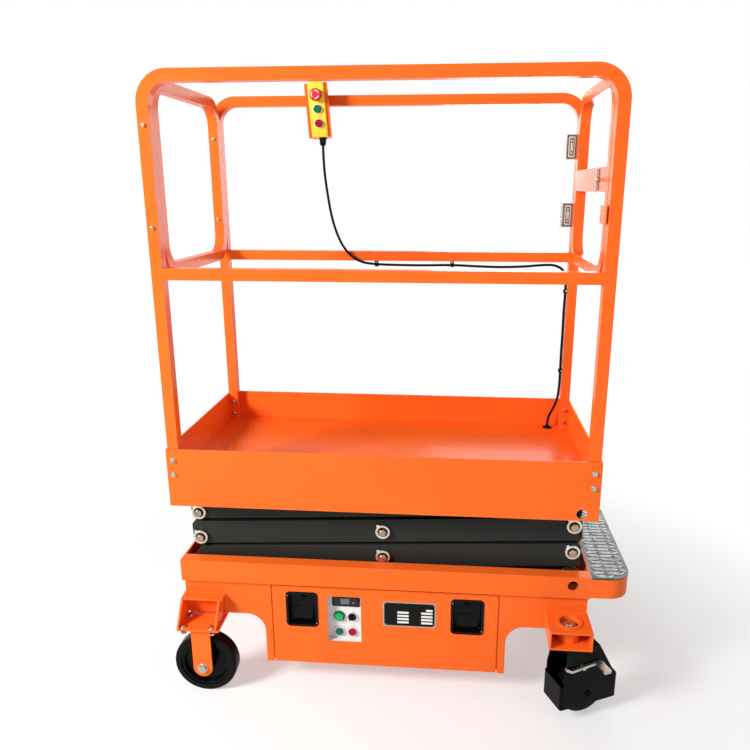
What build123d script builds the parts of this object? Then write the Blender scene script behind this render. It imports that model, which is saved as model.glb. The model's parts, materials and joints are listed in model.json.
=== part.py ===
from build123d import *
import math
import os

# Small push-around scissor lift, folded, with its guard rails and entry gate.
# X runs along the machine towards the step, Y away from the service door, Z up from the floor.

# Driving dimensions, millimetres
TRAY_LENGTH = 1170.0
TRAY_WIDTH = 568.0
TRAY_HEIGHT = 167.0
SHEET = 4.0
SKIRT_BELOW_PIN = 19.0
DECK_ABOVE_PIN = 55.0

RAIL_TUBE = 30.0
RAIL_BEND = 80.0
TOP_RAIL_HEIGHT = 1054.0
MID_RAIL_HEIGHT = 583.0
LOOP_DROP = 10.0
LOOP_LIFT = 5.0

STAGES = 3
ARM_DEPTH = 70.0
ARM_TAIL = 24.0
ARM_CORNER = 12.0
ARM_LEAN = 1.3
ARM_TRIM = 28.0
ARM_THICK = 22.0
ARM_LAYER_GAP = 10.0
ARM_SIDE_GAP = 6.0
ARM_END_GAP = 6.0
SCISSOR_WIDTH = 383.0
RAISED_ANGLE = 52.0
PIVOT_PIN_D = 30.0
PIN_HEAD_D = 40.0
PIN_HEAD_T = 7.7
CROSS_TUBE_D = 40.0
RUNNING_CLEARANCE = 0.05
FACE_CLEARANCE = 0.3

ROLLER_D = 40.0
ROLLER_PIN_D = 24.0
ROLLER_HEADROOM = 3.0
DECK_ROLLER_W = 40.0

CHANNEL_HEIGHT = 66.0
CHANNEL_T = 4.0
CHANNEL_FLANGE = 38.0
CHANNEL_OFFSET = 52.0
END_PLATE_T = 5.0
FLOOR_T = 4.0
PANEL_T = 4.0
PANEL_INSET = 10.5
PANEL_RISE = 122.0
ARCH_ABOVE_CASTOR = 14.0
ARCH_RADIUS = 55.0
GROUND_CLEARANCE = 78.0
ACCESS_HOLE_D = 30.0
SKIRT_HOLE_D = 28.0

LUG_T = 10.0
LUG_HALF = 25.0

CYLINDER_INSET = 80.0
CYLINDER_LIFT = 10.0
CRANK_ALONG = 150.0
CRANK_UP = 60.0
BARREL_D = 70.0
ROD_SHOWN = 117.0
ROD_D = 40.0
ROD_GRIP = 300.0
EYE_D = 56.0
EYE_W = 40.0
CLEVIS_GAP = 2.0

RIGID_WHEEL_D = 187.0
RIGID_WHEEL_W = 44.0
SWIVEL_WHEEL_D = 150.0
SWIVEL_WHEEL_W = 46.0
TYRE_DEPTH = 20.0
TYRE_SHOULDER = 8.0
AXLE_D = 16.0
RIGID_Y = 260.0
SWIVEL_Y = 278.0
RIGID_INSET = 61.0
SWIVEL_INSET = 56.0
CROWN_GAP = 29.0
CASTOR_PLATE_T = 8.0
FORK_LEG_W = 56.0
FORK_LEG_T = 5.0
FORK_SIDE_GAP = 15.0
BRACKET_OUT = 313.5
BRACKET_W = 116.0
BRACKET_T = 6.0
BRACKET_H = 77.0
BRACKET_TOP_DEPTH = 32.0
SOLE_TUCK = 40.0
SWIVEL_OUT = 330.0
BOX_W = 117.0
BOX_H = 55.0
BOX_T = 5.0
SLEEVE_D = 60.0
SLEEVE_RING_D = 74.0
KINGPIN_D = 28.0
KINGPIN_RECESS_D = 54.0
KINGPIN_RECESS = 20.0
SWIVEL_ANGLE = 25.0
TRAIL = 52.0
GUARD_GAP = 18.5
GUARD_SIDE_GAP = 17.0
GUARD_T = 5.0
GUARD_LOW = 45.0
GUARD_TALL = 76.0
GUARD_BEND = 8.0
CROWN_BACK = 26.0
CROWN_SLOPE = 70.0
PEDAL_T = 7.0
PEDAL_BAR_W = 9.0
PEDAL_W = 24.0
PEDAL_REACH = 52.0

BATTERY_L = 190.0
BATTERY_W = 170.0
PACK_FRONT = 40.0
PACK_INSET = 40.0
BATTERY_H = 210.0
TANK_L = 170.0
TANK_H = 140.0
MOTOR_D = 90.0
MOTOR_H = 80.0

DOOR_SIDE = 25.0
DOOR_GAP = 4.0
DOOR_LIFT = 2.0
LATCH_W = 95.0
LATCH_H = 114.0
LATCH_DEPTH = 22.0
LATCH_INSET = 40.0
LATCH_DROP = 18.0
CONTROL_W = 99.0
CONTROL_H = 152.0
CONTROL_INSET = 163.0
CONTROL_DROP = 28.0
CONTROL_DEPTH = 18.0
BUTTON_D = 24.0
HINGE_PIN_D = 6.0
HINGE_KNUCKLE_D = 12.0

STEP_REACH = 110.5
STEP_SKIRT = 62.0
STEP_TAPER = 22.0
STEP_CORNER = 60.0
STEP_PLATE_T = 4.0

GATE_FREE_GAP = 8.0
GATE_HINGE_GAP = 6.0
GATE_BAR_H = 60.0
GATE_STRAP_LIFT = 160.0
GATE_STRAP_H = 44.0
HINGE_H = 72.0
HINGE_OFFSET = 32.0
LEAF_T = 2.8
LEAF_W = 54.0
BARREL_KNUCKLE_D = 10.0
GATE_PIN_D = 5.0
UPPER_HINGE_DROP = 144.0
LOWER_HINGE_LIFT = 141.0

BOX_WIDTH = 49.0
BOX_DEPTH = 56.0
BOX_TALL = 158.0
BOX_X = -229.3
BOX_TOP_ABOVE_RAIL = 32.5
BOX_TILT = 4.2
BOX_SHEET = 3.0
BOX_LIP = 10.5
BOX_LIP_SETBACK = 4.0
STOP_D = 36.0
PUSH_D = 28.0
CABLE_D = 8.0

# Places worked out from the driving dimensions
PIN_X = TRAY_LENGTH / 2 - SHEET - ARM_END_GAP - ARM_DEPTH / 2
PITCH = ARM_DEPTH + ARM_LAYER_GAP
ARM_LENGTH = math.hypot(2 * PIN_X, PITCH)
FOLDED_ANGLE = math.degrees(math.atan2(PITCH, 2 * PIN_X))
ARM_OUT = SCISSOR_WIDTH / 2
OUTER_IN = ARM_OUT - ARM_THICK
INNER_OUT = OUTER_IN - ARM_SIDE_GAP
INNER_IN = INNER_OUT - ARM_THICK
HEAD_OUT = ARM_OUT + FACE_CLEARANCE + PIN_HEAD_T

CASTOR_TOP = RIGID_WHEEL_D + CROWN_GAP + CASTOR_PLATE_T
ARCH_TOP = CASTOR_TOP + ARCH_ABOVE_CASTOR
SWIVEL_TOP = ARCH_TOP
CHANNEL_BOTTOM = CASTOR_TOP + PANEL_RISE
CHANNEL_TOP = CHANNEL_BOTTOM + CHANNEL_HEIGHT
BASE_PIN_Z = CHANNEL_TOP - CHANNEL_T - ROLLER_HEADROOM - ROLLER_D / 2
FLOOR_TOP = CHANNEL_BOTTOM - FLOOR_T
DECK_PIN_Z = BASE_PIN_Z + STAGES * PITCH
TRAY_BOTTOM = DECK_PIN_Z - SKIRT_BELOW_PIN
TRAY_TOP = TRAY_BOTTOM + TRAY_HEIGHT
DECK_TOP = DECK_PIN_Z + DECK_ABOVE_PIN
RAIL_TOP = DECK_TOP + TOP_RAIL_HEIGHT
MID_RAIL_TOP = DECK_TOP + MID_RAIL_HEIGHT

BASE_END = TRAY_LENGTH / 2
BASE_OUT = ARM_OUT + CHANNEL_OFFSET
PANEL_OUT = BASE_OUT - PANEL_INSET
PANEL_IN = PANEL_OUT - PANEL_T
RIGID_X = -BASE_END + RIGID_INSET
SWIVEL_X = BASE_END - SWIVEL_INSET
GUARD_LENGTH = SWIVEL_WHEEL_D + 2 * GUARD_GAP
GUARD_WIDTH = SWIVEL_WHEEL_W + 2 * (GUARD_SIDE_GAP + GUARD_T)
SWIVEL_SWEEP = math.hypot(TRAIL + GUARD_LENGTH / 2, GUARD_WIDTH / 2)
ARCH_LEFT = RIGID_X + RIGID_WHEEL_D / 2 + 81.5
ARCH_RIGHT = SWIVEL_X - SWIVEL_SWEEP - 16.2
STEP_START = BASE_END + END_PLATE_T
STEP_END = STEP_START + STEP_REACH
ORIGIN_X = (STEP_END + RIGID_X - RIGID_WHEEL_D / 2) / 2

SKIRT_IN = TRAY_WIDTH / 2 - SHEET
TRAY_END_IN = TRAY_LENGTH / 2 - SHEET
LEG_IN_X = TRAY_END_IN - RAIL_TUBE
LEG_IN_Y = SKIRT_IN - RAIL_TUBE
LOOP_LOW = MID_RAIL_TOP - RAIL_TUBE + LOOP_LIFT
LOOP_TOP = RAIL_TOP - LOOP_DROP
GATE_BAR_Z = (LOOP_LOW + LOOP_TOP) / 2

DOOR_LEFT = ARCH_LEFT + DOOR_SIDE
DOOR_RIGHT = ARCH_RIGHT - DOOR_SIDE
DOOR_LOW = GROUND_CLEARANCE + DOOR_LIFT
DOOR_TOP = FLOOR_TOP - FLOOR_T - 1.0
DOOR_AXIS_Y = -(PANEL_IN - HINGE_KNUCKLE_D / 2 - 1.0)
DOOR_AXIS_Z = DOOR_LOW + HINGE_KNUCKLE_D / 2
PAN_LOW = GROUND_CLEARANCE + 5.0

GATE_AXIS_X = LEG_IN_X - HINGE_OFFSET
GATE_AXIS_Y = LEG_IN_Y - GATE_HINGE_GAP / 2
GATE_BACK = LEG_IN_Y - GATE_HINGE_GAP
GATE_FRONT = -LEG_IN_Y + GATE_FREE_GAP

BARREL_PIN = (CYLINDER_INSET - PIN_X, BASE_PIN_Z + CYLINDER_LIFT)
BOX_BOTTOM = RAIL_TOP + BOX_TOP_ABOVE_RAIL - BOX_TALL
BOX_FACE = LEG_IN_Y - SHEET - BOX_DEPTH

# Control cable: loose fall from the gland, run under the back mid rail, drop beside the back leg
RAIL_LOW = MID_RAIL_TOP - RAIL_TUBE
CLIP_SAG = 12.0
GROMMET_D = 30.0
CABLE_START = (BOX_X + 8.3, LEG_IN_Y - 32.0, BOX_BOTTOM - 23.5)
CABLE_FALL = [
    (0.0, 0.0, 0.0),
    (0.0, 0.0, 0.15),
    (8.0, 4.0, 0.37),
    (20.0, 11.0, 0.60),
    (41.0, 17.0, 0.783),
    (68.0, 21.5, 0.901),
    (106.0, 25.0, 0.978),
    (159.0, 38.0, 1.0),
]
CABLE_RUN = [
    (0.143, 9.0, 14.0),
    (0.282, 9.5, 14.2),
    (0.425, 9.0, 12.0),
    (0.561, 10.0, 16.0),
    (0.697, 10.0, 18.0),
    (0.822, 9.5, 15.5),
    (0.927, 9.0, 9.5),
    (0.993, 8.5, 9.0),
]
CABLE_DROP = [
    (14.5, 8.5, 0.0435),
    (6.0, 8.0, 0.098),
    (5.5, 8.0, 0.166),
    (6.5, 8.0, 0.298),
    (5.5, 8.5, 0.421),
    (6.5, 8.5, 0.534),
    (5.5, 8.0, 0.642),
    (5.5, 7.0, 0.736),
    (9.5, 5.5, 0.821),
    (22.0, 3.0, 0.880),
    (38.5, 0.0, 0.935),
    (38.5, 0.0, 0.982),
]
RAIL_CLIPS = [7, 10]
LEG_CLIPS = [18, 22]


def cable_route():
    """Corner points of the control cable from its gland to the grommet on the deck."""
    x, y, z = CABLE_START
    fall = z - RAIL_LOW + CLIP_SAG
    route = [(x + dx, y + dy, z - share * fall) for dx, dy, share in CABLE_FALL]
    first = route[-1][0]
    run = LEG_IN_X - 39.0 - first
    route += [(first + share * run, LEG_IN_Y + dy, RAIL_LOW - sag) for share, dy, sag in CABLE_RUN]
    drop = RAIL_LOW - DECK_TOP
    route += [(LEG_IN_X - dx, LEG_IN_Y + dy, RAIL_LOW - share * drop) for dx, dy, share in CABLE_DROP]
    return route


def block(x0, x1, y0, y1, z0, z1):
    """Box between two opposite corners."""
    return Pos((x0 + x1) / 2, (y0 + y1) / 2, (z0 + z1) / 2) * Box(x1 - x0, y1 - y0, z1 - z0)


def plate_xz(sketch, y0, y1):
    """Outline drawn in X and Z, thick from y0 to y1."""
    plane = Plane((0, y1, 0), x_dir=(1, 0, 0), z_dir=(0, -1, 0))
    return extrude(plane * sketch, y1 - y0)


def plate_yz(sketch, x0, x1):
    """Outline drawn in Y and Z, thick from x0 to x1."""
    plane = Plane((x0, 0, 0), x_dir=(0, 1, 0), z_dir=(1, 0, 0))
    return extrude(plane * sketch, x1 - x0)


def plate_xy(sketch, z0, z1):
    """Outline drawn in X and Y, thick from z0 to z1."""
    return extrude(Plane((0, 0, z0)) * sketch, z1 - z0)


def rod_x(y, z, radius, x0, x1):
    return plate_yz(Pos(y, z) * Circle(radius), x0, x1)


def rod_y(x, z, radius, y0, y1):
    return plate_xz(Pos(x, z) * Circle(radius), y0, y1)


def rod_z(x, y, radius, z0, z1):
    return plate_xy(Pos(x, y) * Circle(radius), z0, z1)


def group(*shapes):
    """Separate solids that share one node."""
    return Compound([solid for shape in shapes for solid in shape.solids()])


def both_sides(shape):
    """A piece on the door side and its mirror image at the back."""
    return group(shape, mirror(shape, about=Plane.XZ))


def rounded_loop(width, height, bend, tube):
    """Flat closed loop of tube with round corners, centred."""
    return RectangleRounded(width, height, bend) - RectangleRounded(
        width - 2 * tube, height - 2 * tube, bend - tube
    )


# Base frame

def side_channels():
    """Open channels that the lower rollers run in, with a hardened track on the lower flange."""
    track_in = ARM_OUT + 4.5
    track_top = BASE_PIN_Z - ROLLER_D / 2 - FACE_CLEARANCE
    section = Polygon(
        (-BASE_OUT, CHANNEL_BOTTOM),
        (-track_in, CHANNEL_BOTTOM),
        (-track_in, track_top),
        (-BASE_OUT + CHANNEL_T, track_top),
        (-BASE_OUT + CHANNEL_T, CHANNEL_TOP - CHANNEL_T),
        (-BASE_OUT + CHANNEL_FLANGE, CHANNEL_TOP - CHANNEL_T),
        (-BASE_OUT + CHANNEL_FLANGE, CHANNEL_TOP),
        (-BASE_OUT, CHANNEL_TOP),
        align=None,
    )
    channel = plate_yz(section, -BASE_END, BASE_END)
    web = (-BASE_OUT - 1.0, -BASE_OUT + CHANNEL_T + 1.0)
    channel -= rod_y(PIN_X, BASE_PIN_Z, ACCESS_HOLE_D / 2, *web)
    return both_sides(channel)


def end_plates():
    """Plates that close the two ends of the base frame."""
    left = block(-BASE_END - END_PLATE_T, -BASE_END, -BASE_OUT, BASE_OUT, CHANNEL_BOTTOM, CHANNEL_TOP)
    right = block(BASE_END, BASE_END + END_PLATE_T, -BASE_OUT, BASE_OUT, CHANNEL_BOTTOM, CHANNEL_TOP)
    return group(left, right)


def lug_sketch(x, z, foot_z):
    """Upright lug with a round head about a pin at (x, z)."""
    return Pos(x, z) * Circle(LUG_HALF) + Pos(x, (z + foot_z) / 2) * Rectangle(2 * LUG_HALF, z - foot_z)


def floor_plate():
    """Floor of the scissor bay with the fixed pivots and the cylinder's clevis."""
    plate = block(-BASE_END, BASE_END, -PANEL_IN, PANEL_IN, FLOOR_TOP - FLOOR_T, FLOOR_TOP)
    lug_in = INNER_OUT + ARM_SIDE_GAP
    pivot = plate_xz(lug_sketch(PIN_X, BASE_PIN_Z, FLOOR_TOP), -lug_in - LUG_T, -lug_in)
    pivot += rod_y(PIN_X, BASE_PIN_Z, PIVOT_PIN_D / 2, -lug_in, -INNER_IN)
    clevis_in = EYE_W / 2 + CLEVIS_GAP
    barrel_x, barrel_z = BARREL_PIN
    ear = plate_xz(lug_sketch(barrel_x, barrel_z, FLOOR_TOP), -clevis_in - LUG_T, -clevis_in)
    pin = rod_y(barrel_x, barrel_z, PIVOT_PIN_D / 2, -clevis_in, clevis_in)
    return plate + both_sides(pivot) + both_sides(ear) + pin


def panel_sketch():
    """Lower side panel: a full-length strip with a wheel arch at each end."""
    outline = Polygon(
        (-BASE_END, CHANNEL_BOTTOM),
        (-BASE_END, ARCH_TOP),
        (ARCH_LEFT, ARCH_TOP),
        (ARCH_LEFT, GROUND_CLEARANCE),
        (ARCH_RIGHT, GROUND_CLEARANCE),
        (ARCH_RIGHT, ARCH_TOP),
        (BASE_END, ARCH_TOP),
        (BASE_END, CHANNEL_BOTTOM),
        align=None,
    )
    inner = [v for v in outline.vertices() if abs(v.X) < BASE_END - 1.0 and abs(v.Y - ARCH_TOP) < 0.1]
    return fillet(inner, ARCH_RADIUS)


def side_panels():
    """Painted side panels, the front one open for the service door."""
    back = plate_xz(panel_sketch(), PANEL_IN, PANEL_OUT)
    top = DOOR_TOP + DOOR_GAP
    low = GROUND_CLEARANCE - 1.0
    opening = block(
        DOOR_LEFT - DOOR_GAP, DOOR_RIGHT + DOOR_GAP, -PANEL_OUT - 1.0, -PANEL_IN + 1.0, low, top
    )
    front = plate_xz(panel_sketch(), -PANEL_OUT, -PANEL_IN) - opening
    return group(front, back)


def hinge_places():
    """X centres of the two concealed door hinges."""
    quarter = (DOOR_RIGHT - DOOR_LEFT) / 4
    return [DOOR_LEFT + quarter, DOOR_RIGHT - quarter]


HINGE_HALF = 20.0


def compartment():
    """Battery tray: pan, two end walls and the fixed knuckles of the door hinges."""
    pan_front = DOOR_AXIS_Y + HINGE_KNUCKLE_D / 2 + 3.0
    pan = block(ARCH_LEFT + PANEL_T, ARCH_RIGHT - PANEL_T, pan_front, PANEL_IN, PAN_LOW, PAN_LOW + PANEL_T)
    wall_top = FLOOR_TOP - FLOOR_T
    tray = pan
    for x0 in (ARCH_LEFT, ARCH_RIGHT - PANEL_T):
        tray += block(x0, x0 + PANEL_T, -PANEL_IN, PANEL_IN, GROUND_CLEARANCE, wall_top)
    for x in hinge_places():
        span = (x - HINGE_HALF, x + HINGE_HALF)
        knuckle = rod_x(DOOR_AXIS_Y, DOOR_AXIS_Z, HINGE_KNUCKLE_D / 2, *span)
        knuckle += block(*span, DOOR_AXIS_Y, pan_front, DOOR_AXIS_Z - PANEL_T / 2, DOOR_AXIS_Z + PANEL_T / 2)
        knuckle -= rod_x(DOOR_AXIS_Y, DOOR_AXIS_Z, HINGE_PIN_D / 2 + RUNNING_CLEARANCE, *span)
        tray += knuckle
    return tray


def power_pack():
    """Two batteries and the pump with its tank, as plain blocks on the pan."""
    deck = PAN_LOW + PANEL_T
    left = ARCH_LEFT + PACK_INSET
    right = ARCH_RIGHT - PACK_INSET
    depth = (-PACK_FRONT, BATTERY_W - PACK_FRONT)
    first = block(left, left + BATTERY_L, *depth, deck, deck + BATTERY_H)
    next_x = left + BATTERY_L + PACK_INSET / 2
    second = block(next_x, next_x + BATTERY_L, *depth, deck, deck + BATTERY_H)
    tank = block(right - TANK_L, right, *depth, deck, deck + TANK_H)
    motor_y = sum(depth) / 2
    motor = rod_z(right - TANK_L / 2, motor_y, MOTOR_D / 2, deck + TANK_H, deck + TANK_H + MOTOR_H)
    return group(first, second, tank + motor)


# Service door

def latch_centres():
    z = DOOR_TOP - LATCH_DROP - LATCH_H / 2
    return [
        (DOOR_LEFT + LATCH_INSET + LATCH_W / 2, z),
        (DOOR_RIGHT - LATCH_INSET - LATCH_W / 2, z),
    ]


def control_centre():
    return DOOR_LEFT + CONTROL_INSET + CONTROL_W / 2, DOOR_TOP - CONTROL_DROP - CONTROL_H / 2


LATCH_LIP = 5.0


def service_door():
    """Drop-down door with cut-outs for its latches and the control window, on concealed hinges."""
    door = block(DOOR_LEFT, DOOR_RIGHT, -PANEL_OUT, -PANEL_IN, DOOR_LOW, DOOR_TOP)
    through = (-PANEL_OUT - 1.0, -PANEL_IN + 1.0)
    for x, z in latch_centres():
        hole = Pos(x, z) * RectangleRounded(LATCH_W - 2 * LATCH_LIP, LATCH_H - 2 * LATCH_LIP, 8.0)
        door -= plate_xz(hole, *through)
    door -= plate_xz(Pos(*control_centre()) * Rectangle(CONTROL_W, CONTROL_H), *through)
    for x in hinge_places():
        for end in (-1, 1):
            near = x + end * (HINGE_HALF + 1.0)
            far = x + end * 2 * HINGE_HALF
            span = (min(near, far), max(near, far))
            door += rod_x(DOOR_AXIS_Y, DOOR_AXIS_Z, HINGE_KNUCKLE_D / 2, *span)
            door += block(
                *span, -PANEL_IN, DOOR_AXIS_Y, DOOR_AXIS_Z - PANEL_T / 2, DOOR_AXIS_Z + PANEL_T / 2
            )
        door += rod_x(DOOR_AXIS_Y, DOOR_AXIS_Z, HINGE_PIN_D / 2, x - 2 * HINGE_HALF, x + 2 * HINGE_HALF)
    return door


def door_latches():
    """Recessed paddle latches: a flange, a pocket behind it and a paddle across the pocket."""
    latches = []
    wall = 2.5
    pocket_w = LATCH_W - 2 * LATCH_LIP - 1.0
    pocket_h = LATCH_H - 2 * LATCH_LIP - 1.0
    for x, z in latch_centres():
        flange = Pos(x, z) * RectangleRounded(LATCH_W, LATCH_H, 12.0)
        pocket = Pos(x, z) * RectangleRounded(pocket_w, pocket_h, 7.0)
        hollow = Pos(x, z) * RectangleRounded(pocket_w - 2 * wall, pocket_h - 2 * wall, 5.0)
        front = -PANEL_OUT - wall
        latch = plate_xz(flange, front, -PANEL_OUT)
        latch += plate_xz(pocket, -PANEL_OUT, -PANEL_OUT + LATCH_DEPTH)
        latch -= plate_xz(hollow, front, -PANEL_OUT + LATCH_DEPTH - wall)
        paddle_back = -PANEL_OUT + LATCH_DEPTH - wall
        paddle = Polygon(
            (paddle_back, z - pocket_h / 2 + 14.0),
            (paddle_back - 14.0, z - pocket_h / 2 + 16.0),
            (paddle_back - 14.0, z - pocket_h / 2 + 22.0),
            (paddle_back - 5.0, z - 4.0),
            (paddle_back, z),
            align=None,
        )
        latch += plate_yz(paddle, x - pocket_w * 0.36, x + pocket_w * 0.36)
        latches.append(latch)
    return group(*latches)


PANEL_SKIN = 2.0


def control_panel():
    """Pale instrument tray set back behind the door's window."""
    x, z = control_centre()
    rim = Rectangle(CONTROL_W + 16.0, CONTROL_H + 16.0) - Rectangle(CONTROL_W, CONTROL_H)
    tray = plate_xz(Pos(x, z) * rim, -PANEL_IN, -PANEL_IN + PANEL_SKIN)
    cup = Pos(x, z) * Rectangle(CONTROL_W + 2 * PANEL_SKIN, CONTROL_H + 2 * PANEL_SKIN)
    back = -PANEL_IN + CONTROL_DEPTH
    tray += plate_xz(cup, -PANEL_IN, back + PANEL_SKIN)
    tray -= plate_xz(Pos(x, z) * Rectangle(CONTROL_W, CONTROL_H), -PANEL_IN - 1.0, back)
    return tray


def panel_controls():
    """Display, lit start button, key switch and two push buttons on the instrument tray."""
    x, z = control_centre()
    back = -PANEL_IN + CONTROL_DEPTH
    top = z + CONTROL_H / 2
    pieces = [block(x - 38.0, x + 44.0, back - 3.0, back, top - 44.0, top - 10.0)]
    for column in (-18.0, 21.0):
        for row in (-78.0, -129.0):
            cx = x + column
            cz = top + row
            ring = rod_y(cx, cz, BUTTON_D / 2 + 3.0, back - 4.0, back)
            cap = rod_y(cx, cz, BUTTON_D / 2 - 2.0, back - 11.0, back - 4.0)
            pieces.append(ring + cap)
    return group(*pieces)


# Rigid castors

def rigid_brackets():
    """Open box brackets on the side panels: sole that runs on under the panel, sloped gussets, short top."""
    low = CASTOR_TOP
    high = CASTOR_TOP + BRACKET_H
    x0 = RIGID_X - BRACKET_W / 2
    x1 = RIGID_X + BRACKET_W / 2
    side = Polygon(
        (-PANEL_OUT, low),
        (-BRACKET_OUT, low),
        (-BRACKET_OUT, low + BRACKET_T + 2.0),
        (-PANEL_OUT - BRACKET_TOP_DEPTH, high),
        (-PANEL_OUT, high),
        align=None,
    )
    bracket = plate_yz(side, x0, x0 + BRACKET_T) + plate_yz(side, x1 - BRACKET_T, x1)
    bracket += block(x0, x1, -BRACKET_OUT, -PANEL_OUT + SOLE_TUCK, low, low + BRACKET_T)
    bracket += block(x0, x1, -PANEL_OUT - BRACKET_TOP_DEPTH, -PANEL_OUT, high - BRACKET_T, high)
    return both_sides(bracket)


def rigid_forks():
    """Fork of each rigid castor: top plate and two round-ended legs."""
    plate_low = CASTOR_TOP - CASTOR_PLATE_T
    axle_z = RIGID_WHEEL_D / 2
    inner = RIGID_WHEEL_W / 2 + FORK_SIDE_GAP
    fork = block(
        RIGID_X - BRACKET_W / 2 + 3.0, RIGID_X + BRACKET_W / 2 - 3.0,
        -RIGID_Y - inner - FORK_LEG_T, -RIGID_Y + inner + FORK_LEG_T, plate_low, CASTOR_TOP,
    )
    leg = Pos(RIGID_X, axle_z) * Circle(FORK_LEG_W / 2)
    leg += Pos(RIGID_X, (axle_z + plate_low) / 2) * Rectangle(FORK_LEG_W, plate_low - axle_z)
    leg -= Pos(RIGID_X, axle_z) * Circle(AXLE_D / 2)
    for side in (-1, 1):
        y = -RIGID_Y + side * (inner + FORK_LEG_T / 2)
        fork += plate_xz(leg, y - FORK_LEG_T / 2, y + FORK_LEG_T / 2)
    return both_sides(fork)


def rigid_axles():
    """Axle bolts of the rigid castors with their hexagon heads and nuts."""
    reach = RIGID_WHEEL_W / 2 + FORK_SIDE_GAP + FORK_LEG_T
    head = 9.0
    z = RIGID_WHEEL_D / 2
    axle = rod_y(RIGID_X, z, AXLE_D / 2, -RIGID_Y - reach, -RIGID_Y + reach)
    hexagon = Pos(RIGID_X, z) * RegularPolygon(AXLE_D * 0.8, 6)
    axle += plate_xz(hexagon, -RIGID_Y - reach - head, -RIGID_Y - reach)
    axle += plate_xz(hexagon, -RIGID_Y + reach, -RIGID_Y + reach + head)
    return both_sides(axle)


def tyre_at(x, y, diameter, width):
    """Solid tyre with round shoulders, turning about Y."""
    radius = diameter / 2
    profile = RectangleRounded(2 * TYRE_DEPTH, width, TYRE_SHOULDER)
    profile = Pos(radius - TYRE_DEPTH, 0) * profile
    profile &= Pos(radius - TYRE_DEPTH / 2, 0) * Rectangle(TYRE_DEPTH, width)
    ring = revolve(profile, Axis.Y)
    return Pos(x, y, radius) * ring


def rim_at(x, y, diameter, width, hub_half):
    """Wheel centre: rim, dished web and hub with its axle bore."""
    radius = diameter / 2 - TYRE_DEPTH
    bore = AXLE_D / 2 + RUNNING_CLEARANCE
    half = width / 2 - 3.0
    web = 8.0
    hub = 24.0
    section = Polygon(
        (bore, hub_half),
        (hub, hub_half),
        (hub + 6.0, web),
        (radius - 12.0, web),
        (radius - 8.0, half),
        (radius, half),
        (radius, -half),
        (radius - 8.0, -half),
        (radius - 12.0, -web),
        (hub + 6.0, -web),
        (hub, -hub_half),
        (bore, -hub_half),
        align=None,
    )
    return Pos(x, y, diameter / 2) * revolve(section, Axis.Y)


def rigid_tyre(side):
    return tyre_at(RIGID_X, side * RIGID_Y, RIGID_WHEEL_D, RIGID_WHEEL_W)


def rigid_rim(side):
    hub_half = RIGID_WHEEL_W / 2 + FORK_SIDE_GAP - 1.0
    return rim_at(RIGID_X, side * RIGID_Y, RIGID_WHEEL_D, RIGID_WHEEL_W, hub_half)


# Swivel castors

def swivel_brackets():
    """Open-fronted box section on the side panel with the kingpin sleeve welded through it."""
    low = SWIVEL_TOP
    high = SWIVEL_TOP + BOX_H
    section = Pos(SWIVEL_X, (low + high) / 2) * (
        Rectangle(BOX_W, BOX_H) - Rectangle(BOX_W - 2 * BOX_T, BOX_H - 2 * BOX_T)
    )
    bracket = plate_xz(section, -SWIVEL_OUT, -PANEL_OUT)
    bracket += rod_z(SWIVEL_X, -SWIVEL_Y, SLEEVE_D / 2, low, high)
    bracket += rod_z(SWIVEL_X, -SWIVEL_Y, SLEEVE_RING_D / 2, high, high + 3.0)
    bracket -= rod_z(SWIVEL_X, -SWIVEL_Y, KINGPIN_D / 2 + RUNNING_CLEARANCE, low - 1.0, high + 4.0)
    bracket -= rod_z(SWIVEL_X, -SWIVEL_Y, KINGPIN_RECESS_D / 2, high - KINGPIN_RECESS, high + 4.0)
    return both_sides(bracket)


def place_swivel(shape, side):
    """Turn a castor piece drawn about its kingpin and set it under its bracket."""
    placed = Pos(SWIVEL_X, -SWIVEL_Y, 0) * Rot(0, 0, SWIVEL_ANGLE) * shape
    if side > 0:
        placed = mirror(placed, about=Plane.XZ)
    return placed


SWIVEL_GAP = 5.0


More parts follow.
